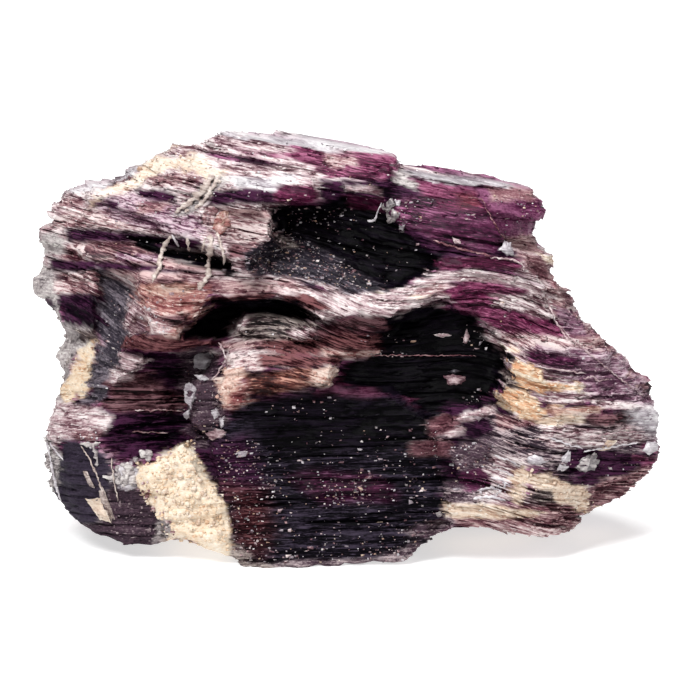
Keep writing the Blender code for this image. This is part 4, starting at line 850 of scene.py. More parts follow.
def slab_faces(triangles, heights, cuts, used, first, count, start):
    """The parts of the triangles that lie between the cuts, as triangles.

    Each triangle's edges are given by number, and each edge's cuts by the number of the first,
    how many there are, and the number of the first cut point.
    """
    order = np.argsort(heights[triangles], axis=1, kind="stable")
    low, middle, high = np.take_along_axis(triangles, order, axis=1).T
    # Whether the corners from low to high go round as the triangle's own corners do.
    same_way = np.isin(order @ (1, 10, 100), (210, 21, 102))
    # The edge from corner a to corner b of a triangle is number a, b or 2 of its three.
    between = np.array(((0, 0, 2), (0, 1, 1), (2, 1, 2)))
    rows = np.arange(len(triangles))
    long_edge = used[rows, between[order[:, 0], order[:, 2]]]
    low_edge = used[rows, between[order[:, 0], order[:, 1]]]
    high_edge = used[rows, between[order[:, 1], order[:, 2]]]

    slabs = count[long_edge] + 1
    tri = np.repeat(rows, slabs)
    step = np.arange(len(tri)) - np.repeat(np.cumsum(slabs) - slabs, slabs)
    is_first, is_last = step == 0, step == slabs[tri] - 1
    under = np.clip(first[long_edge[tri]] + step - 1, 0, len(cuts) - 1)
    over = np.clip(first[long_edge[tri]] + step, 0, len(cuts) - 1)

    def cut_point(edge, number):
        return start[edge] + number - first[edge]

    def short_side(number):
        lower = cuts[number] < heights[middle[tri]]
        return np.where(lower, cut_point(low_edge[tri], number), cut_point(high_edge[tri], number))

    corners = np.full((len(tri), 5), -1)
    corners[:, 0] = np.where(is_first, low[tri], cut_point(long_edge[tri], under))
    corners[:, 1] = np.where(is_last, high[tri], cut_point(long_edge[tri], over))
    corners[:, 2] = np.where(is_last, -1, short_side(over))
    above_under = is_first | (cuts[under] < heights[middle[tri]])
    below_over = is_last | (cuts[over] > heights[middle[tri]])
    corners[:, 3] = np.where(above_under & below_over, middle[tri], -1)
    corners[:, 4] = np.where(is_first, -1, short_side(under))
    corners = np.take_along_axis(corners, np.argsort(corners < 0, axis=1, kind="stable"), axis=1)
    sides = (corners >= 0).sum(axis=1)
    flipped = same_way[tri]
    faces = []
    for fan in (1, 2, 3):
        chosen = sides > fan + 1
        pieces = corners[chosen][:, (0, fan, fan + 1)]
        pieces[flipped[chosen]] = pieces[flipped[chosen]][:, ::-1]
        faces.append(pieces)
    return np.concatenate(faces)


def read_points(mesh):
    """A mesh's points in world millimetres as an array."""
    flat = np.empty(len(mesh.vertices) * 3, np.float32)
    mesh.vertices.foreach_get("co", flat)
    return flat.reshape(-1, 3).astype(float) / MM


def read_normals(mesh):
    """The direction a mesh faces at each of its points, as an array."""
    flat = np.empty(len(mesh.vertices) * 3, np.float32)
    mesh.vertex_normals.foreach_get("vector", flat)
    return flat.reshape(-1, 3).astype(float)


def new_object(name, data):
    """An object made of the data, put into the scene."""
    made = bpy.data.objects.new(name, data)
    bpy.context.scene.collection.objects.link(made)
    return made


def divided(mesh):
    """A copy of the solid's mesh with its long edges halved."""
    work = bmesh.new()
    work.from_mesh(mesh)
    bmesh.ops.remove_doubles(work, verts=work.verts[:], dist=0.001 * MM)
    for _ in range(EDGE_ROUNDS):
        edges = work.edges[:]
        middles = np.array([(edge.verts[0].co + edge.verts[1].co) / 2 for edge in edges]) / MM
        lengths = np.array([edge.calc_length() for edge in edges]) / MM
        crumbs = zone_values(middles, layer_numbers(middles))[:, CRUMBS]
        longest = EDGE_FRONT + (EDGE_CRUMBLY - EDGE_FRONT) * smooth_step(*CRUMBLY_RANGE, crumbs)
        longest += (EDGE_BEHIND - longest) * smooth_step(*FRONT_DEPTH, to_view(middles)[:, 2])
        chosen = [edges[index] for index in np.flatnonzero(lengths > longest)]
        bmesh.ops.subdivide_edges(work, edges=chosen, cuts=1)
        bmesh.ops.triangulate(work, faces=work.faces[:], quad_method="SHORT_EDGE", ngon_method="BEAUTY")
    made = bpy.data.meshes.new("divided")
    work.to_mesh(made)
    work.free()
    return made


def layer_numbers(points):
    """The number of the layer that each point lies in."""
    return np.searchsorted(LAYER_ENDS, strata_height(points))


def triangle_corners(mesh):
    """The numbers of the three points of each of a mesh's triangles."""
    mesh.calc_loop_triangles()
    corners = np.empty(len(mesh.loop_triangles) * 3, np.int32)
    mesh.loop_triangles.foreach_get("vertices", corners)
    return corners.reshape(-1, 3).astype(np.int64)


def write_attributes(mesh, points, values, lightness):
    """Gives each vertex its three colours, its place in the pile and how it is broken, with a tone added to
    it, which on the body is painted light and shade.
    """
    for name, columns in (("dark", DARK), ("middle", MIDDLE), ("light", LIGHT)):
        colours = np.ones((len(points), 4), np.float32)
        colours[:, :3] = values[:, columns]
        layer = mesh.attributes.new(name, "FLOAT_COLOR", "POINT")
        layer.data.foreach_set("color", colours.ravel())
    pile = mesh.attributes.new("pile", "FLOAT_VECTOR", "POINT")
    pile.data.foreach_set("vector", pile_place(points).astype(np.float32).ravel())
    for name, numbers in (("tone", values[:, TONE] + lightness), ("streaks", values[:, STREAKS]),
                          ("crumbs", values[:, CRUMBS])):
        layer = mesh.attributes.new(name, "FLOAT", "POINT")
        layer.data.foreach_set("value", numbers.astype(np.float32))


def boxed(points):
    """The points, moved into the solid's box where they lie outside it."""
    low, high = (np.array(corner) / MM for corner in cad_box)
    return np.clip(points, low, high)


def layered_solid():
    """The solid cut where layers end: its points, normals, heights in the pile and triangles."""
    mesh = divided(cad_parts["lepidolite"].data)
    points = read_points(mesh)
    cuts = np.sort(np.concatenate((LAYER_ENDS - STEP_HALF, LAYER_ENDS + STEP_HALF)))
    points, normals, heights, triangles = sliced(
        points, read_normals(mesh), triangle_corners(mesh), strata_height(points), cuts)
    return points, unit(normals), heights, triangles


def lumps_at(points, crumbs):
    """How far each point stands out in the lumps of crumbly places."""
    outward = np.zeros(len(points))
    for seed, (size, depth) in enumerate(LUMPS, start=80):
        outward += depth * noise_at(points, size, seed)
    return outward * (LEAST_LUMPS + crumbs)


def broken_back(points, normals, heights, layers, values):
    """Where the broken layers and lumps put each point, and how much lighter or darker it is painted for
    that: painted light where it stands out or faces up, and painted shade where it is set back.
    """
    streaks, crumbs = np.minimum(values[:, STREAKS], 1), values[:, CRUMBS]
    bedding = bedding_normal(points)
    upright = np.sum(normals * bedding, axis=1)
    sideways = normals - bedding * upright[:, None]
    darkness = 1 - smooth_step(*DARK_RANGE, values[:, MIDDLE].mean(axis=1))
    share = PLAIN_REACH + (1 - PLAIN_REACH) * streaks
    share *= (1 - CRUMBS_TAKE * crumbs)
    share *= (1 - DARKNESS_TAKES * darkness)
    reach = layer_reach(points, layers)
    outward = lumps_at(points, crumbs)
    layer_top = np.append(LAYER_ENDS, heights.max())[layers]
    level = smooth_step(*LEVEL_RANGE, np.abs(upright))
    lift = (layer_top - heights) * level * (1 - crumbs) * LIFT_SHARE
    placed = points + sideways * (share * reach - SET_BACK)[:, None]
    placed += normals * outward[:, None] + bedding * (lift - LIFT_GAP * (lift > 0))[:, None]

    # Painted light and shade: ledges and lumps that stand out and faces that turn up are painted lighter, and
    # those that are set back are painted darker.
    upward = smooth_step(*TOP_RANGE, upright)
    sheen = sum(size * chips_at(points, layers, block, seed) for seed, size, block in SHEENS)
    lightness = PAINTED_LEDGE_LIGHT * reach * share + sheen * streaks
    return boxed(placed), lightness + PAINTED_LUMP_LIGHT * outward * crumbs + PAINTED_TOP_LIGHT * upward


def mica_body():
    """The whole lump as a front and a back piece of broken layers of mica and crumbly places."""
    points, normals, heights, triangles = layered_solid()
    layers = np.searchsorted(LAYER_ENDS, heights)
    values = zone_values(points, layers)
    placed, lightness = broken_back(points, normals, heights, layers, values)
    ahead = to_view(points)[triangles, 2].mean(axis=1) < SEAM_DEPTH
    pieces = []
    for name, chosen in (("mica_front", triangles[ahead]), ("mica_back", triangles[~ahead])):
        used, corners = np.unique(chosen, return_inverse=True)
        mesh = mesh_of(name, placed[used], corners.reshape(-1, 3))
        write_attributes(mesh, placed[used], values[used], lightness[used])
        close_seam(mesh)
        pieces.append(thinned(new_object(name, mesh)))
    return pieces


def close_seam(mesh):
    """Closes a piece of the body with a wall inside the rock, where the two pieces meet."""
    work = bmesh.new()
    work.from_mesh(mesh)
    seam = [edge for edge in work.edges if edge.is_boundary]
    wall = bmesh.ops.holes_fill(work, edges=seam, sides=0)["faces"]
    bmesh.ops.triangulate(work, faces=wall)
    work.to_mesh(mesh)
    work.free()


def thinned(piece):
    """Takes triangles out of a piece where it has more than it may."""
    modifier = piece.modifiers.new("thin", "DECIMATE")
    modifier.ratio = min(1.0, PIECE_TRIANGLES / len(piece.data.polygons))
    graph = bpy.context.evaluated_depsgraph_get()
    mesh = bpy.data.meshes.new_from_object(piece.evaluated_get(graph))
    piece.modifiers.clear()
    piece.data = mesh
    return piece


def mesh_of(name, points, faces):
    """A mesh from an array of points in millimetres and an array of triangles."""
    mesh = bpy.data.meshes.new(name)
    mesh.vertices.add(len(points))
    mesh.loops.add(faces.size)
    mesh.polygons.add(len(faces))
    mesh.vertices.foreach_set("co", (points * MM).astype(np.float32).ravel())
    mesh.loops.foreach_set("vertex_index", faces.astype(np.int32).ravel())
    mesh.polygons.foreach_set("loop_start", np.arange(0, faces.size, 3, dtype=np.int32))
    mesh.update(calc_edges=True)
    mesh.validate()
    return mesh


def palette_rows(names, crumbs):
    """A row of values for each palette name."""
    rows = {name: zone_row(Zone(name, (), 0.0, 0.5, crumbs, 1)) for name in set(names)}
    return np.array([rows[name] for name in names])


# The depth that rays into the front start from.
RAY_START = -80.0


def front_finder(body):
    """A function that gives the depth and normal of the body's front at places in the view."""
    points = read_points(body.data)
    corners = triangle_corners(body.data)
    tree = BVHTree.FromPolygons(points.tolist(), corners.tolist())
    into = Vector((0, TILT_COS, -TILT_SIN))

    def find(flat):
        starts = to_world(np.column_stack((flat, np.full(len(flat), RAY_START))))
        found = [tree.ray_cast(Vector(start), into) for start in starts]
        depth = np.array([np.nan if hit[0] is None else hit[3] + RAY_START for hit in found])
        normals = np.array([(0, -1, 0) if hit[0] is None else tuple(hit[1]) for hit in found])
        return depth, normals

    return find


def on_front(find, flat):
    """Which places in the view lie on the front, with their world points and normals."""
    depth, normals = find(flat)
    kept = ~np.isnan(depth) & (depth < FRONT_DEPTH[1])
    return kept, to_world(np.column_stack((flat, depth))[kept]), normals[kept]


def random_turns(random, count):
    """Rotation matrices that turn each of a number of things a random way."""
    turn = random.normal(size=(count, 4))
    w, x, y, z = (turn / np.linalg.norm(turn, axis=1, keepdims=True)).T
    rows = ((1 - 2 * (y * y + z * z), 2 * (x * y - w * z), 2 * (x * z + w * y)),
            (2 * (x * y + w * z), 1 - 2 * (x * x + z * z), 2 * (y * z - w * x)),
            (2 * (x * z - w * y), 2 * (y * z + w * x), 1 - 2 * (x * x + y * y)))
    return np.moveaxis(np.array(rows), 2, 0)


def scattered(random, outline, density):
    """Random places inside an outline, so many to a square millimetre."""
    low, high = outline_box(outline)
    tries = random.uniform(low, high, (int(np.prod(high - low) * density), 2))
    return tries[inside_distance(tries, outline) > 0]


def copies(shape, faces, places, sizes, turns):
    """One mesh's points and faces for many turned and sized copies of a small shape."""
    points = np.einsum("nij,nkj->nki", turns, shape * sizes[:, None, :]) + places[:, None, :]
    step = shape.shape[-2]
    corners = faces[None] + step * np.arange(len(places))[:, None, None]
    return points.reshape(-1, 3), corners.reshape(-1, 3)


def joined(name, points, faces, rows, tones, material):
    """Makes a piece of many small parts, with a row of values for each of its points."""
    points = boxed(points)
    mesh = mesh_of(name, points, faces)
    write_attributes(mesh, points, rows, tones)
    mesh.materials.append(material)
    piece = new_object(name, mesh)
    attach(piece, "root")


# The crumbs: how their sizes spread, as a log-normal's two numbers, how long they are along each
# axis, how far their corners stick out, how far they stand off, and how their tones spread.
CRUMB_SPREAD = (-0.1, 0.35)
CRUMB_AXES = (0.6, 1.2)
CRUMB_CORNERS = (0.75, 1.2)
CRUMB_LIFT = 0.1
CRUMB_TONES = (0.1, 0.25)
# The amount of crumbs in the rows of values of crumbs, scales, veins and flakes.
CRUMB_CRUMBS, SCALE_CRUMBS, VEIN_CRUMBS, FLAKE_CRUMBS = 0.8, 0.0, 0.5, 0.2


def ball_shape():
    """The points and faces of a ball of twenty faces, one millimetre across."""
    ball = bmesh.new()
    bmesh.ops.create_icosphere(ball, subdivisions=1, radius=0.5)
    shape = np.array([tuple(vertex.co) for vertex in ball.verts])
    faces = np.array([[vertex.index for vertex in face.verts] for face in ball.faces])
    ball.free()
    return shape, faces


def crumbs_piece(find, material):
    """Crumbs of feldspar and clay, each an uneven lump of twenty faces."""
    random = np.random.default_rng(11)
    shape, faces = ball_shape()
    flat, names, usual = [], [], []
    for name, outline, density, size in CRUMBLY_PLACES:
        chosen = scattered(random, outline, density)
        flat.append(chosen)
        names += [name] * len(chosen)
        usual += [size] * len(chosen)
    kept, places, normals = on_front(find, np.concatenate(flat))
    count = len(places)
    rows = np.repeat(palette_rows(np.array(names)[kept], CRUMB_CRUMBS), len(shape), axis=0)
    usual = (np.array(usual)[kept] * random.lognormal(*CRUMB_SPREAD, count))[:, None]
    sizes = usual * random.uniform(*CRUMB_AXES, (count, 3))
    shapes = shape[None] * random.uniform(*CRUMB_CORNERS, (count, len(shape), 1))
    places += CRUMB_LIFT * usual * normals
    points, corners = copies(shapes, faces, places, sizes, random_turns(random, count))
    tones = np.repeat(random.normal(*CRUMB_TONES, count), len(shape))
    joined("feldspar_crumbs", points, corners, rows, tones, material)


# The triangles of a plate: four points of its back, then the four of its front over them.
PLATE_FACES = np.array((
    (0, 2, 1), (0, 3, 2), (4, 5, 6), (4, 6, 7), (0, 1, 5), (0, 5, 4),
    (1, 2, 6), (1, 6, 5), (2, 3, 7), (2, 7, 6), (3, 0, 4), (3, 4, 7)))
PLATE_POINTS = 8
# The scales: their outline and how far its corners stray, how their widths spread, their lengths to
# a width, their thickness, how far they stand off and tilt, their palettes and their tones.
SCALE_OUTLINE = ((-0.5, -0.5), (0.5, -0.5), (0.5, 0.5), (-0.5, 0.5))
SCALE_CORNERS = (0.6, 1.2)
SCALE_WIDTHS = (-1.95, 0.5)
SCALE_LENGTHS = (0.8, 2.4)
SCALE_THICKNESS = 0.04
SCALE_LIFT = 0.04
SCALE_TILT = 0.35
SCALE_PALETTES = ("pearl", "silver", "pink", "crust", "cream")
SCALE_SHARES = (0.25, 0.35, 0.2, 0.1, 0.1)
SCALE_TONES = (-0.7, 0.9)


def plates(outline, count):
    """The points of so many plates with a four-cornered outline, one millimetre thick."""
    shape = np.array([(x, y, z / 2) for z in (-1, 1) for x, y in outline])
    return np.repeat(shape[None], count, axis=0)


def sparkles_piece(find, material):
    """Small bright scales of mica, each a thin uneven plate, whose pale colours are partly the scales' own
    and partly painted glints besides the shine they catch.
    """
    random = np.random.default_rng(12)
    flat = np.concatenate([scattered(random, outline, density) for outline, density in SPARKLES])
    _, places, normals = on_front(find, flat)
    count = len(places)
    shapes = plates(SCALE_OUTLINE, count)
    shapes[..., :2] *= np.tile(random.uniform(*SCALE_CORNERS, (count, 4, 1)), (1, 2, 1))
    width = random.lognormal(*SCALE_WIDTHS, count)
    length = width * random.uniform(*SCALE_LENGTHS, count)
    sizes = np.column_stack((length, width, np.full(count, SCALE_THICKNESS)))
    # Each scale's flat side faces roughly out of the rock, and its long side lies level.
    out = unit(normals + random.normal(0, SCALE_TILT, (count, 3)))
    level = unit(np.cross(out, (0.0, 0.0, 1.0)))
    turns = np.stack((level, np.cross(out, level), out), axis=2)
    points, corners = copies(shapes, PLATE_FACES, places + SCALE_LIFT * normals, sizes, turns)
    names = random.choice(SCALE_PALETTES, count, p=SCALE_SHARES)
    tones = np.repeat(random.normal(*SCALE_TONES, count), PLATE_POINTS)
    rows = np.repeat(palette_rows(names, SCALE_CRUMBS), PLATE_POINTS, axis=0)
    joined("mica_scales", points, corners, rows, tones, material)


# The splinters: their outline and how far its corners stray, how their lengths spread, their widths
# to a length, their thickness, how far they stand off, tilt and turn, and their tones.
SPLINTER_OUTLINE = ((-0.5, 0), (-0.125, -0.5), (0.475, -0.075), (0.15, 0.45))
SPLINTER_STRAY = 0.13
SPLINTER_LENGTHS = (-0.5, 0.4)
SPLINTER_WIDTHS = (0.18, 0.5)
SPLINTER_THICKNESS = (0.04, 0.09)
SPLINTER_LIFT = 0.03
SPLINTER_TILT = 0.11
SPLINTER_TURN = 0.1
SPLINTER_TONE = 0.1
# How their tones spread on dark mica, and how much more on pale mica.
TONE_SPREAD = (0.3, 0.35)
# The share of splinters that stand on edge, and the share of them that is left on dark mica.
ON_EDGE = 0.2
ON_DARK = 0.25
# The middle colours between which mica is pale, in linear light, and the crumbs between which no
# splinters are left.
PALE_RANGE = (0.005, 0.1)
BARE_RANGE = (0.5, 0.8)


def splinter_places(pieces, random):
    """Random points of the body, more of them on pale mica, with normals, values and paleness."""
    places = np.concatenate([read_points(piece.data) for piece in pieces])
    normals = np.concatenate([read_normals(piece.data) for piece in pieces])
    chosen = random.choice(len(places), SPLINTERS, replace=False)
    places, normals = places[chosen], normals[chosen]
    rows = zone_values(places, layer_numbers(places))
    pale = smooth_step(*PALE_RANGE, rows[:, MIDDLE].mean(axis=1))
    share = (ON_DARK + (1 - ON_DARK) * pale) * (1 - smooth_step(*BARE_RANGE, rows[:, CRUMBS]))
    kept = random.random(len(places)) < share
    return places[kept], normals[kept], rows[kept], pale[kept]


def splinter_turns(places, normals, random):
    """Turns that lay scales on the surface, and torn edges level in the bedding and out of it."""
    count = len(places)
    bedding = bedding_normal(places)
    on_edge = (random.random(count) < ON_EDGE)[:, None]
    out = unit(np.where(on_edge, bedding, normals) + random.normal(0, SPLINTER_TILT, (count, 3)))
    along = np.cross(bedding, np.where(on_edge, normals, out))
    along += random.normal(0, SPLINTER_TURN, (count, 3))
    along = unit(along - out * np.sum(along * out, axis=1, keepdims=True))
    return np.stack((along, np.cross(out, along), out), axis=2)


def splinters_piece(pieces, material):
    """Torn scales and edges of mica all over the body, in the colours of what they lie on."""
    random = np.random.default_rng(15)
    places, normals, rows, pale = splinter_places(pieces, random)
    count = len(places)
    shapes = plates(SPLINTER_OUTLINE, count)
    shapes[..., :2] += np.tile(random.normal(0, SPLINTER_STRAY, (count, 4, 2)), (1, 2, 1))
    length = random.lognormal(*SPLINTER_LENGTHS, count)
    width = length * random.uniform(*SPLINTER_WIDTHS, count)
    sizes = np.column_stack((length, width, random.uniform(*SPLINTER_THICKNESS, count)))
    turns = splinter_turns(places, normals, random)
    points, corners = copies(shapes, PLATE_FACES, places + SPLINTER_LIFT * normals, sizes, turns)
    spread = TONE_SPREAD[0] + TONE_SPREAD[1] * pale
    tones = np.repeat(random.normal(SPLINTER_TONE, spread), PLATE_POINTS)
    rows = np.repeat(rows, PLATE_POINTS, axis=0)
    joined("mica_splinters", points, corners, rows, tones, material)


# A vein's sides round, the steps along it, how far it strays, and how thin its ends are.
VEIN_SIDES = 8
VEIN_STEP = 0.3
VEIN_STRAY = 0.06
VEIN_ENDS = 0.4
# How its width and its skin vary, how far it stands out in front of its line and is rooted behind
# it, to a width, the least width that counts for that, and its tones' spread and lumps.
VEIN_WIDTHS = (0.35, 1.15)
VEIN_SKIN = (0.5, 1.35)
VEIN_FRONT = 0.3
VEIN_ROOT = 0.9
VEIN_LEAST = 0.2
VEIN_TONES = 0.7
VEIN_LUMPS = 0.8
# The fewest rings that make a vein.
VEIN_RINGS = 4


def vein_line(find, path, random):
    """Across, rise and width at steps along a vein, where it lies in front of the body."""
    path = np.array(path)
    leg = np.hypot(*np.diff(path[:, :2], axis=0).T)
    along = np.concatenate(((0,), np.cumsum(leg)))
    steps = np.linspace(0, along[-1], max(VEIN_RINGS, int(along[-1] / VEIN_STEP)))
    line = np.column_stack([np.interp(steps, along, path[:, k]) for k in range(3)])
    line[:, :2] += random.normal(0, VEIN_STRAY, (len(line), 2))
    return line[~np.isnan(find(line[:, :2])[0])]


def vein_depth(find, line, sideways, width):
    """The depth of a vein, which lies on the ledges and hangs over the gaps between them."""
    hits = [find(line + share * width[:, None] * sideways)[0] for share in (-0.4, 0, 0.4)]
    depth = np.nanmin(np.stack(hits), axis=0)
    nearest = np.array([depth[max(0, k - 2):k + 3].min() for k in range(len(depth))])
    return np.convolve(np.pad(nearest, 2, mode="edge"), np.full(5, 0.2), "valid")


def vein_rings(find, path, random):
    """Rings of points along one vein, or nothing where too little of it lies on the body."""
    line = vein_line(find, path, random)
    if len(line) < VEIN_RINGS:
        return None
    width = line[:, 2] * random.uniform(*VEIN_WIDTHS, len(line))
    width[0] *= VEIN_ENDS
    width[-1] *= VEIN_ENDS
    line = line[:, :2]
    heading = unit(np.gradient(line, axis=0))
    sideways = np.column_stack((-heading[:, 1], heading[:, 0]))
    depth = vein_depth(find, line, sideways, width)
    angle = np.arange(VEIN_SIDES) * 2 * math.pi / VEIN_SIDES
    rough = random.uniform(*VEIN_SKIN, (len(line), VEIN_SIDES))
    across = 0.5 * width[:, None] * np.cos(angle) * rough
    bulge = np.where(np.sin(angle) > 0, VEIN_FRONT, VEIN_ROOT) * np.maximum(width, VEIN_LEAST)[:, None]
    rings = np.empty((len(line), VEIN_SIDES, 3))
    rings[..., :2] = line[:, None] + across[..., None] * sideways[:, None, :]
    rings[..., 2] = depth[:, None] - bulge * np.sin(angle) * rough
    return rings


def vein_faces(rows, sides, first):
    """The triangles of a vein's skin and of its two ends."""
    index = first + np.arange(rows * sides).reshape(rows, sides)
    after = np.roll(index, -1, axis=1)
    quads = np.stack((index[:-1], after[:-1], after[1:], index[1:]), axis=-1).reshape(-1, 4)
    start, end = (np.stack((np.full(sides - 2, ring[0]), ring[1:-1], ring[2:]), axis=-1)
                  for ring in (index[0], index[-1]))
    return [quads[:, (0, 1, 2)], quads[:, (0, 2, 3)], start[:, ::-1], end]


def veins_piece(find, material):
    """Strings of pale mineral over the ledges."""
    random = np.random.default_rng(13)
    points, faces, names = [], [], []
    for name, path in VEINS:
        rings = vein_rings(find, path, random)
        if rings is None:
            continue
        faces += vein_faces(*rings.shape[:2], len(names))
        points.append(to_world(rings.reshape(-1, 3)))
        names += [name] * len(points[-1])
    points = np.concatenate(points)
    tones = VEIN_TONES * noise_at(points, VEIN_LUMPS, 91)
    joined("pale_veins", points, np.concatenate(faces), palette_rows(names, VEIN_CRUMBS), tones, material)


def flake_points(find, outline, random):
    """A plate's ragged rim and middle in the view, and the depths there of what it lies on."""
    corners = np.array(outline)
    ends = np.roll(corners, -1, axis=0)
    shares = (0, 0.2, 0.4, 0.6, 0.8)
    rim = np.concatenate([corners + (ends - corners) * share for share in shares], axis=1)
    rim = rim.reshape(-1, 2)
    middle = corners.mean(axis=0)
    rim += (rim - middle) * random.normal(0, RIM_STRAY, (len(rim), 1))
    spots = np.concatenate((rim, middle + 0.5 * (rim - middle), middle[None]))
    depth, _ = find(spots)
    good = ~np.isnan(depth)
    # The plate lies in the plane that fits the front best, in front of most of it.
    ones = np.column_stack((np.ones(len(spots)), spots - middle))
    plane = np.linalg.lstsq(ones[good], depth[good], rcond=None)[0]
    plane[1:] = np.clip(plane[1:], -STEEPEST, STEEPEST)
    plane[0] += np.quantile(depth[good] - ones[good] @ plane, FRONT_SHARE)
    level = ones @ plane
    return rim, middle, level[:len(rim)], level[-1]


# How far a plate's rim strays, how steeply a plate may lie, and the share of the front under it that
# may stand in front of it.
RIM_STRAY = 0.07
STEEPEST = 0.8
FRONT_SHARE = 0.25
# A flake's sheets: how many, how far each lies in front of the last and is smaller than it, how
# thick it is, and how deep the rearmost one is rooted in the rock.
FLAKE_SHEETS = 3
SHEET_GAP = 0.06
SHEET_SHRINK = 0.13
SHEET_THICKNESS = 0.13
ROOT_DEPTH = 0.9
# How far a whole sheet and each point of its rim stray, and how far its middle bulges.
SHEET_STRAY = 0.05
SHEET_RIM_STRAY = 0.03
SHEET_BULGE = 0.03
# A sheet's tone and its spread from sheet to sheet and from point to point.
SHEET_TONE = (-0.35, 0.3)
POINT_TONES = 0.35


def flake_sheet(rim, middle, level, centre, sheet, random):
    """The points of one sheet: its front rim, its back rim and the middle of each."""
    moved = middle + (1 - SHEET_SHRINK * sheet) * (rim - middle) + random.normal(0, SHEET_STRAY, 2)
    moved += random.normal(0, SHEET_RIM_STRAY, moved.shape)
    front = level - SHEET_GAP * (sheet + 1)
    back = front + (ROOT_DEPTH if sheet == 0 else SHEET_THICKNESS)
    centre = centre - SHEET_GAP * (sheet + 1) - SHEET_BULGE
    middles = ((*middle, centre), (*middle, back.mean()))
    return np.concatenate((np.column_stack((moved, front)), np.column_stack((moved, back)), middles))


def sheet_faces(count, first):
    """The triangles of a sheet with so many points to a rim: its front, its back and its edge."""
    here = first + np.arange(count)
    after = np.roll(here, -1)
    front, back = np.full(count, first + 2 * count), np.full(count, first + 2 * count + 1)
    rows = ((front, here, after), (back, after + count, here + count),
            (here, here + count, after + count), (here, after + count, after))
    return [np.stack(corners, axis=-1) for corners in rows]


def flakes_piece(find, material):
    """Loose plates of mica, each of a few thin sheets."""
    random = np.random.default_rng(14)
    points, faces, names, tones = [], [], [], []
    for name, outline in FLAKES:
        rim, middle, level, centre = flake_points(find, outline, random)
        for sheet in range(FLAKE_SHEETS):
            faces += sheet_faces(len(rim), len(names))
            points.append(flake_sheet(rim, middle, level, centre, sheet, random))
            count = len(points[-1])
            names += [name] * count
            tones += list(random.normal(*SHEET_TONE) + random.normal(0, POINT_TONES, count))
    points, faces = to_world(np.concatenate(points)), np.concatenate(faces)
    joined("loose_flakes", points, faces, palette_rows(names, FLAKE_CRUMBS), np.array(tones), material)


def attribute(tree, name, output):
    node = tree.nodes.new("ShaderNodeAttribute")
    node.attribute_name = name
    return node.outputs[output]


def maths(tree, operation, *inputs, clamp=False):
    """A calculation with numbers or other nodes' outputs."""
    node = tree.nodes.new("ShaderNodeMath")
    node.operation = operation
    node.use_clamp = clamp
    for socket, value in zip(node.inputs, inputs):
        if isinstance(value, (int, float)):
            socket.default_value = value
        else:
            tree.links.new(value, socket)
    return node.outputs[0]


def mixed_colour(tree, share, first, second):
    node = tree.nodes.new("ShaderNodeMix")
    node.data_type = "RGBA"
    tree.links.new(share, node.inputs["Factor"])
    tree.links.new(first, node.inputs["A"])
    tree.links.new(second, node.inputs["B"])
    return node.outputs["Result"]


def noise_node(tree, vector, stretch, detail, roughness=0.6):
    """Noise over the pile, with lumps of 1 mm divided by the stretch along each direction."""
    scaled = tree.nodes.new("ShaderNodeVectorMath")
    scaled.operation = "MULTIPLY"
    scaled.inputs[1].default_value = stretch
    tree.links.new(vector, scaled.inputs[0])
    node = tree.nodes.new("ShaderNodeTexNoise")
    node.inputs["Scale"].default_value = 1.0
    node.inputs["Detail"].default_value = detail
    node.inputs["Roughness"].default_value = roughness
    tree.links.new(scaled.outputs[0], node.inputs["Vector"])
    return node.outputs["Fac"]


# The stretch of the noises for bands, thin streaks, hairlines and grain, and how strongly each acts
# on the colour; hairlines show only above their level.
BAND_STRETCH, BAND_GAIN = (0.16, 0.16, 1.1), 2.6
THIN_STRETCH, THIN_GAIN = (0.45, 0.45, 5.0), 6.2
HAIR_STRETCH, HAIR_GAIN = (0.5, 0.5, 7.0), 14.0
HAIR_LEVEL = 0.58
GRAIN_STRETCH, GRAIN_GAIN = (2.5, 2.5, 4.5), 1.4
# The least of the grain's strength, and how much rougher grain and crumbs make the mica.
LEAST_GRAIN = 0.9
GRAIN_ROUGHNESS = 0.3
CRUMBS_ROUGHNESS = 0.3
MICA_IOR = 1.56
BUMP_STRENGTH = 0.5
# The height of the bumps in millimetres.
BUMP_HEIGHT = 0.12


def swing(tree, noise, gain):
    """How far the noise is above or below its middle, so many times over."""
    return maths(tree, "MULTIPLY", maths(tree, "SUBTRACT", noise, 0.5), gain)


def mica_colour(tree, pile, thin, grain, crumbs):
    """Streaks along the bedding and speckle between a dark, a middle and a light colour."""
    band = noise_node(tree, pile, BAND_STRETCH, 2.0)
    hair = noise_node(tree, pile, HAIR_STRETCH, 2.0)
    layered = maths(tree, "ADD", swing(tree, band, BAND_GAIN), swing(tree, thin, THIN_GAIN))
    lines = maths(tree, "MULTIPLY", maths(tree, "SUBTRACT", hair, HAIR_LEVEL, clamp=True), HAIR_GAIN)
    layered = maths(tree, "ADD", layered, lines)
    layered = maths(tree, "MULTIPLY", layered, attribute(tree, "streaks", "Fac"))
    speckle = maths(tree, "MULTIPLY", swing(tree, grain, GRAIN_GAIN), maths(tree, "ADD", crumbs, LEAST_GRAIN))
    # The tone holds each zone's own lean, random tones and, on the body, painted light and shade.
    tone = attribute(tree, "tone", "Fac")
    total = maths(tree, "ADD", maths(tree, "ADD", layered, speckle), tone)
    lighter = maths(tree, "MULTIPLY", total, 1.0, clamp=True)
    darker = maths(tree, "MULTIPLY", total, -1.0, clamp=True)
    middle, light, dark = (attribute(tree, name, "Color") for name in ("middle", "light", "dark"))
    return mixed_colour(tree, darker, mixed_colour(tree, lighter, middle, light), dark)


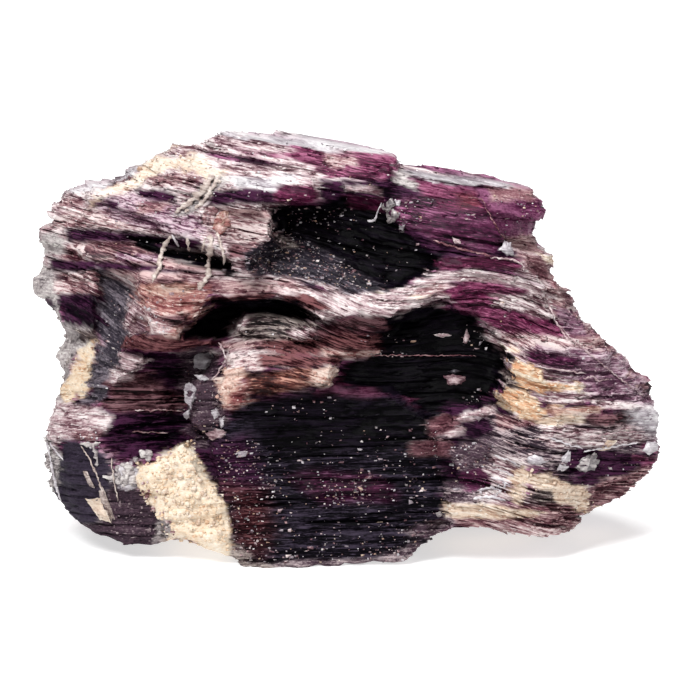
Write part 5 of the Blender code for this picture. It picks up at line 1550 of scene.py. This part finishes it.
def mica_material(name, roughness, glitter):
    """Layered mica, as rough as told at least, with a given strength of its shine."""
    material = bpy.data.materials.new(name)
    material.use_nodes = True
    tree = material.node_tree
    shader = tree.nodes["Principled BSDF"]
    pile = attribute(tree, "pile", "Vector")
    crumbs = attribute(tree, "crumbs", "Fac")
    thin = noise_node(tree, pile, THIN_STRETCH, 4.0, 0.7)
    grain = noise_node(tree, pile, GRAIN_STRETCH, 3.0)
    tree.links.new(mica_colour(tree, pile, thin, grain, crumbs), shader.inputs["Base Color"])

    rough = maths(tree, "ADD", maths(tree, "MULTIPLY", grain, GRAIN_ROUGHNESS), roughness)
    rough = maths(tree, "ADD", rough, maths(tree, "MULTIPLY", crumbs, CRUMBS_ROUGHNESS))
    tree.links.new(rough, shader.inputs["Roughness"])
    shader.inputs["IOR"].default_value = MICA_IOR
    shader.inputs["Specular IOR Level"].default_value = glitter

    bump = tree.nodes.new("ShaderNodeBump")
    bump.inputs["Strength"].default_value = BUMP_STRENGTH
    bump.inputs["Distance"].default_value = BUMP_HEIGHT * MM
    tree.links.new(maths(tree, "ADD", thin, grain), bump.inputs["Height"])
    tree.links.new(bump.outputs["Normal"], shader.inputs["Normal"])
    return material


FLOOR_SIZE = 8.0
FLOOR_LOOK = (
    ("Base Color", (0.6, 0.6, 0.6, 1)),
    ("Emission Color", (1, 1, 1, 1)),
    ("Emission Strength", 0.6),
    ("Roughness", 0.9),
    ("Specular IOR Level", 0.1),
)


def floor():
    """A plain white floor that the specimen stands on."""
    bpy.ops.mesh.primitive_plane_add(size=FLOOR_SIZE, location=(0, 0, 0))
    made = bpy.context.object
    made.name = "floor"
    material = bpy.data.materials.new("floor_white")
    material.use_nodes = True
    shader = material.node_tree.nodes["Principled BSDF"]
    for name, value in FLOOR_LOOK:
        shader.inputs[name].default_value = value
    made.data.materials.append(material)


# Each light's name, its place and size in metres, and its power in watts.
LIGHTS = (
    ("key", (-0.45, -0.75, 0.95), 0.5, 17),
    ("top", (0.1, 0.1, 1.1), 0.6, 11),
    ("fill", (0.8, -0.6, 0.5), 0.6, 3),
)
LIGHT_AIM = (0, 0, 0.025)
SKY_STRENGTH = 0.1


def area_light(name, place, size, energy):
    """A soft square light aimed at the specimen's middle."""
    data = bpy.data.lights.new(name, "AREA")
    data.energy = energy
    data.size = size
    lamp = new_object(name, data)
    lamp.location = place
    aim = Vector(LIGHT_AIM) - Vector(place)
    lamp.rotation_euler = aim.to_track_quat("-Z", "Y").to_euler()


def lights():
    """The area lights and an even white surrounding light."""
    for light in LIGHTS:
        area_light(*light)
    world = bpy.data.worlds.new("studio")
    bpy.context.scene.world = world
    world.use_nodes = True
    background = world.node_tree.nodes["Background"]
    background.inputs["Color"].default_value = (1, 1, 1, 1)
    background.inputs["Strength"].default_value = SKY_STRENGTH


def camera():
    """A long lens from a little above, at the photograph's angle."""
    data = bpy.data.cameras.new("camera")
    data.sensor_width = SENSOR_WIDTH
    data.lens = SENSOR_WIDTH * CAMERA_DISTANCE / VIEW_WIDTH
    made = new_object("camera", data)
    target = Vector(to_world([(*VIEW_MIDDLE, 0.0)])[0]) * MM
    away = Vector((0, -TILT_COS, TILT_SIN))
    made.location = target + away * CAMERA_DISTANCE
    made.rotation_euler = (-away).to_track_quat("-Z", "Y").to_euler()
    bpy.context.scene.camera = made
    bpy.context.scene.view_settings.view_transform = "Standard"


# Faces with a darker middle colour than this, in linear light, get the darker material.
DARK_LEVEL = 0.018


def split_by_darkness(mesh):
    """Gives the near-black faces the second material, which shines less."""
    colours = np.empty(len(mesh.vertices) * 4, np.float32)
    mesh.attributes["middle"].data.foreach_get("color", colours)
    shine = colours.reshape(-1, 4)[:, :3].mean(axis=1)
    corners = np.empty(len(mesh.loops), np.int32)
    mesh.loops.foreach_get("vertex_index", corners)
    starts = np.empty(len(mesh.polygons), np.int32)
    mesh.polygons.foreach_get("loop_start", starts)
    dark = shine[corners[starts]] < DARK_LEVEL
    mesh.polygons.foreach_set("material_index", dark.astype(np.int32))


def build():
    """Makes every piece, the floor, the lights and the camera."""
    pieces = mica_body()
    book = mica_material("mica_book", roughness=0.28, glitter=0.11)
    dark = mica_material("dark_mica", roughness=0.28, glitter=0.03)
    for piece in pieces:
        piece.data.materials.append(book)
        piece.data.materials.append(dark)
        split_by_darkness(piece.data)
        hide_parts("lepidolite")
        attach(piece, "root")

    find = front_finder(pieces[0])
    pale = mica_material("pale_mineral", roughness=0.5, glitter=0.1)
    crumbs_piece(find, pale)
    veins_piece(find, pale)
    splinters_piece(pieces, pale)
    bright = mica_material("bright_mica", roughness=0.15, glitter=0.5)
    sparkles_piece(find, bright)
    flakes_piece(find, bright)

    floor()
    lights()
    camera()


build()
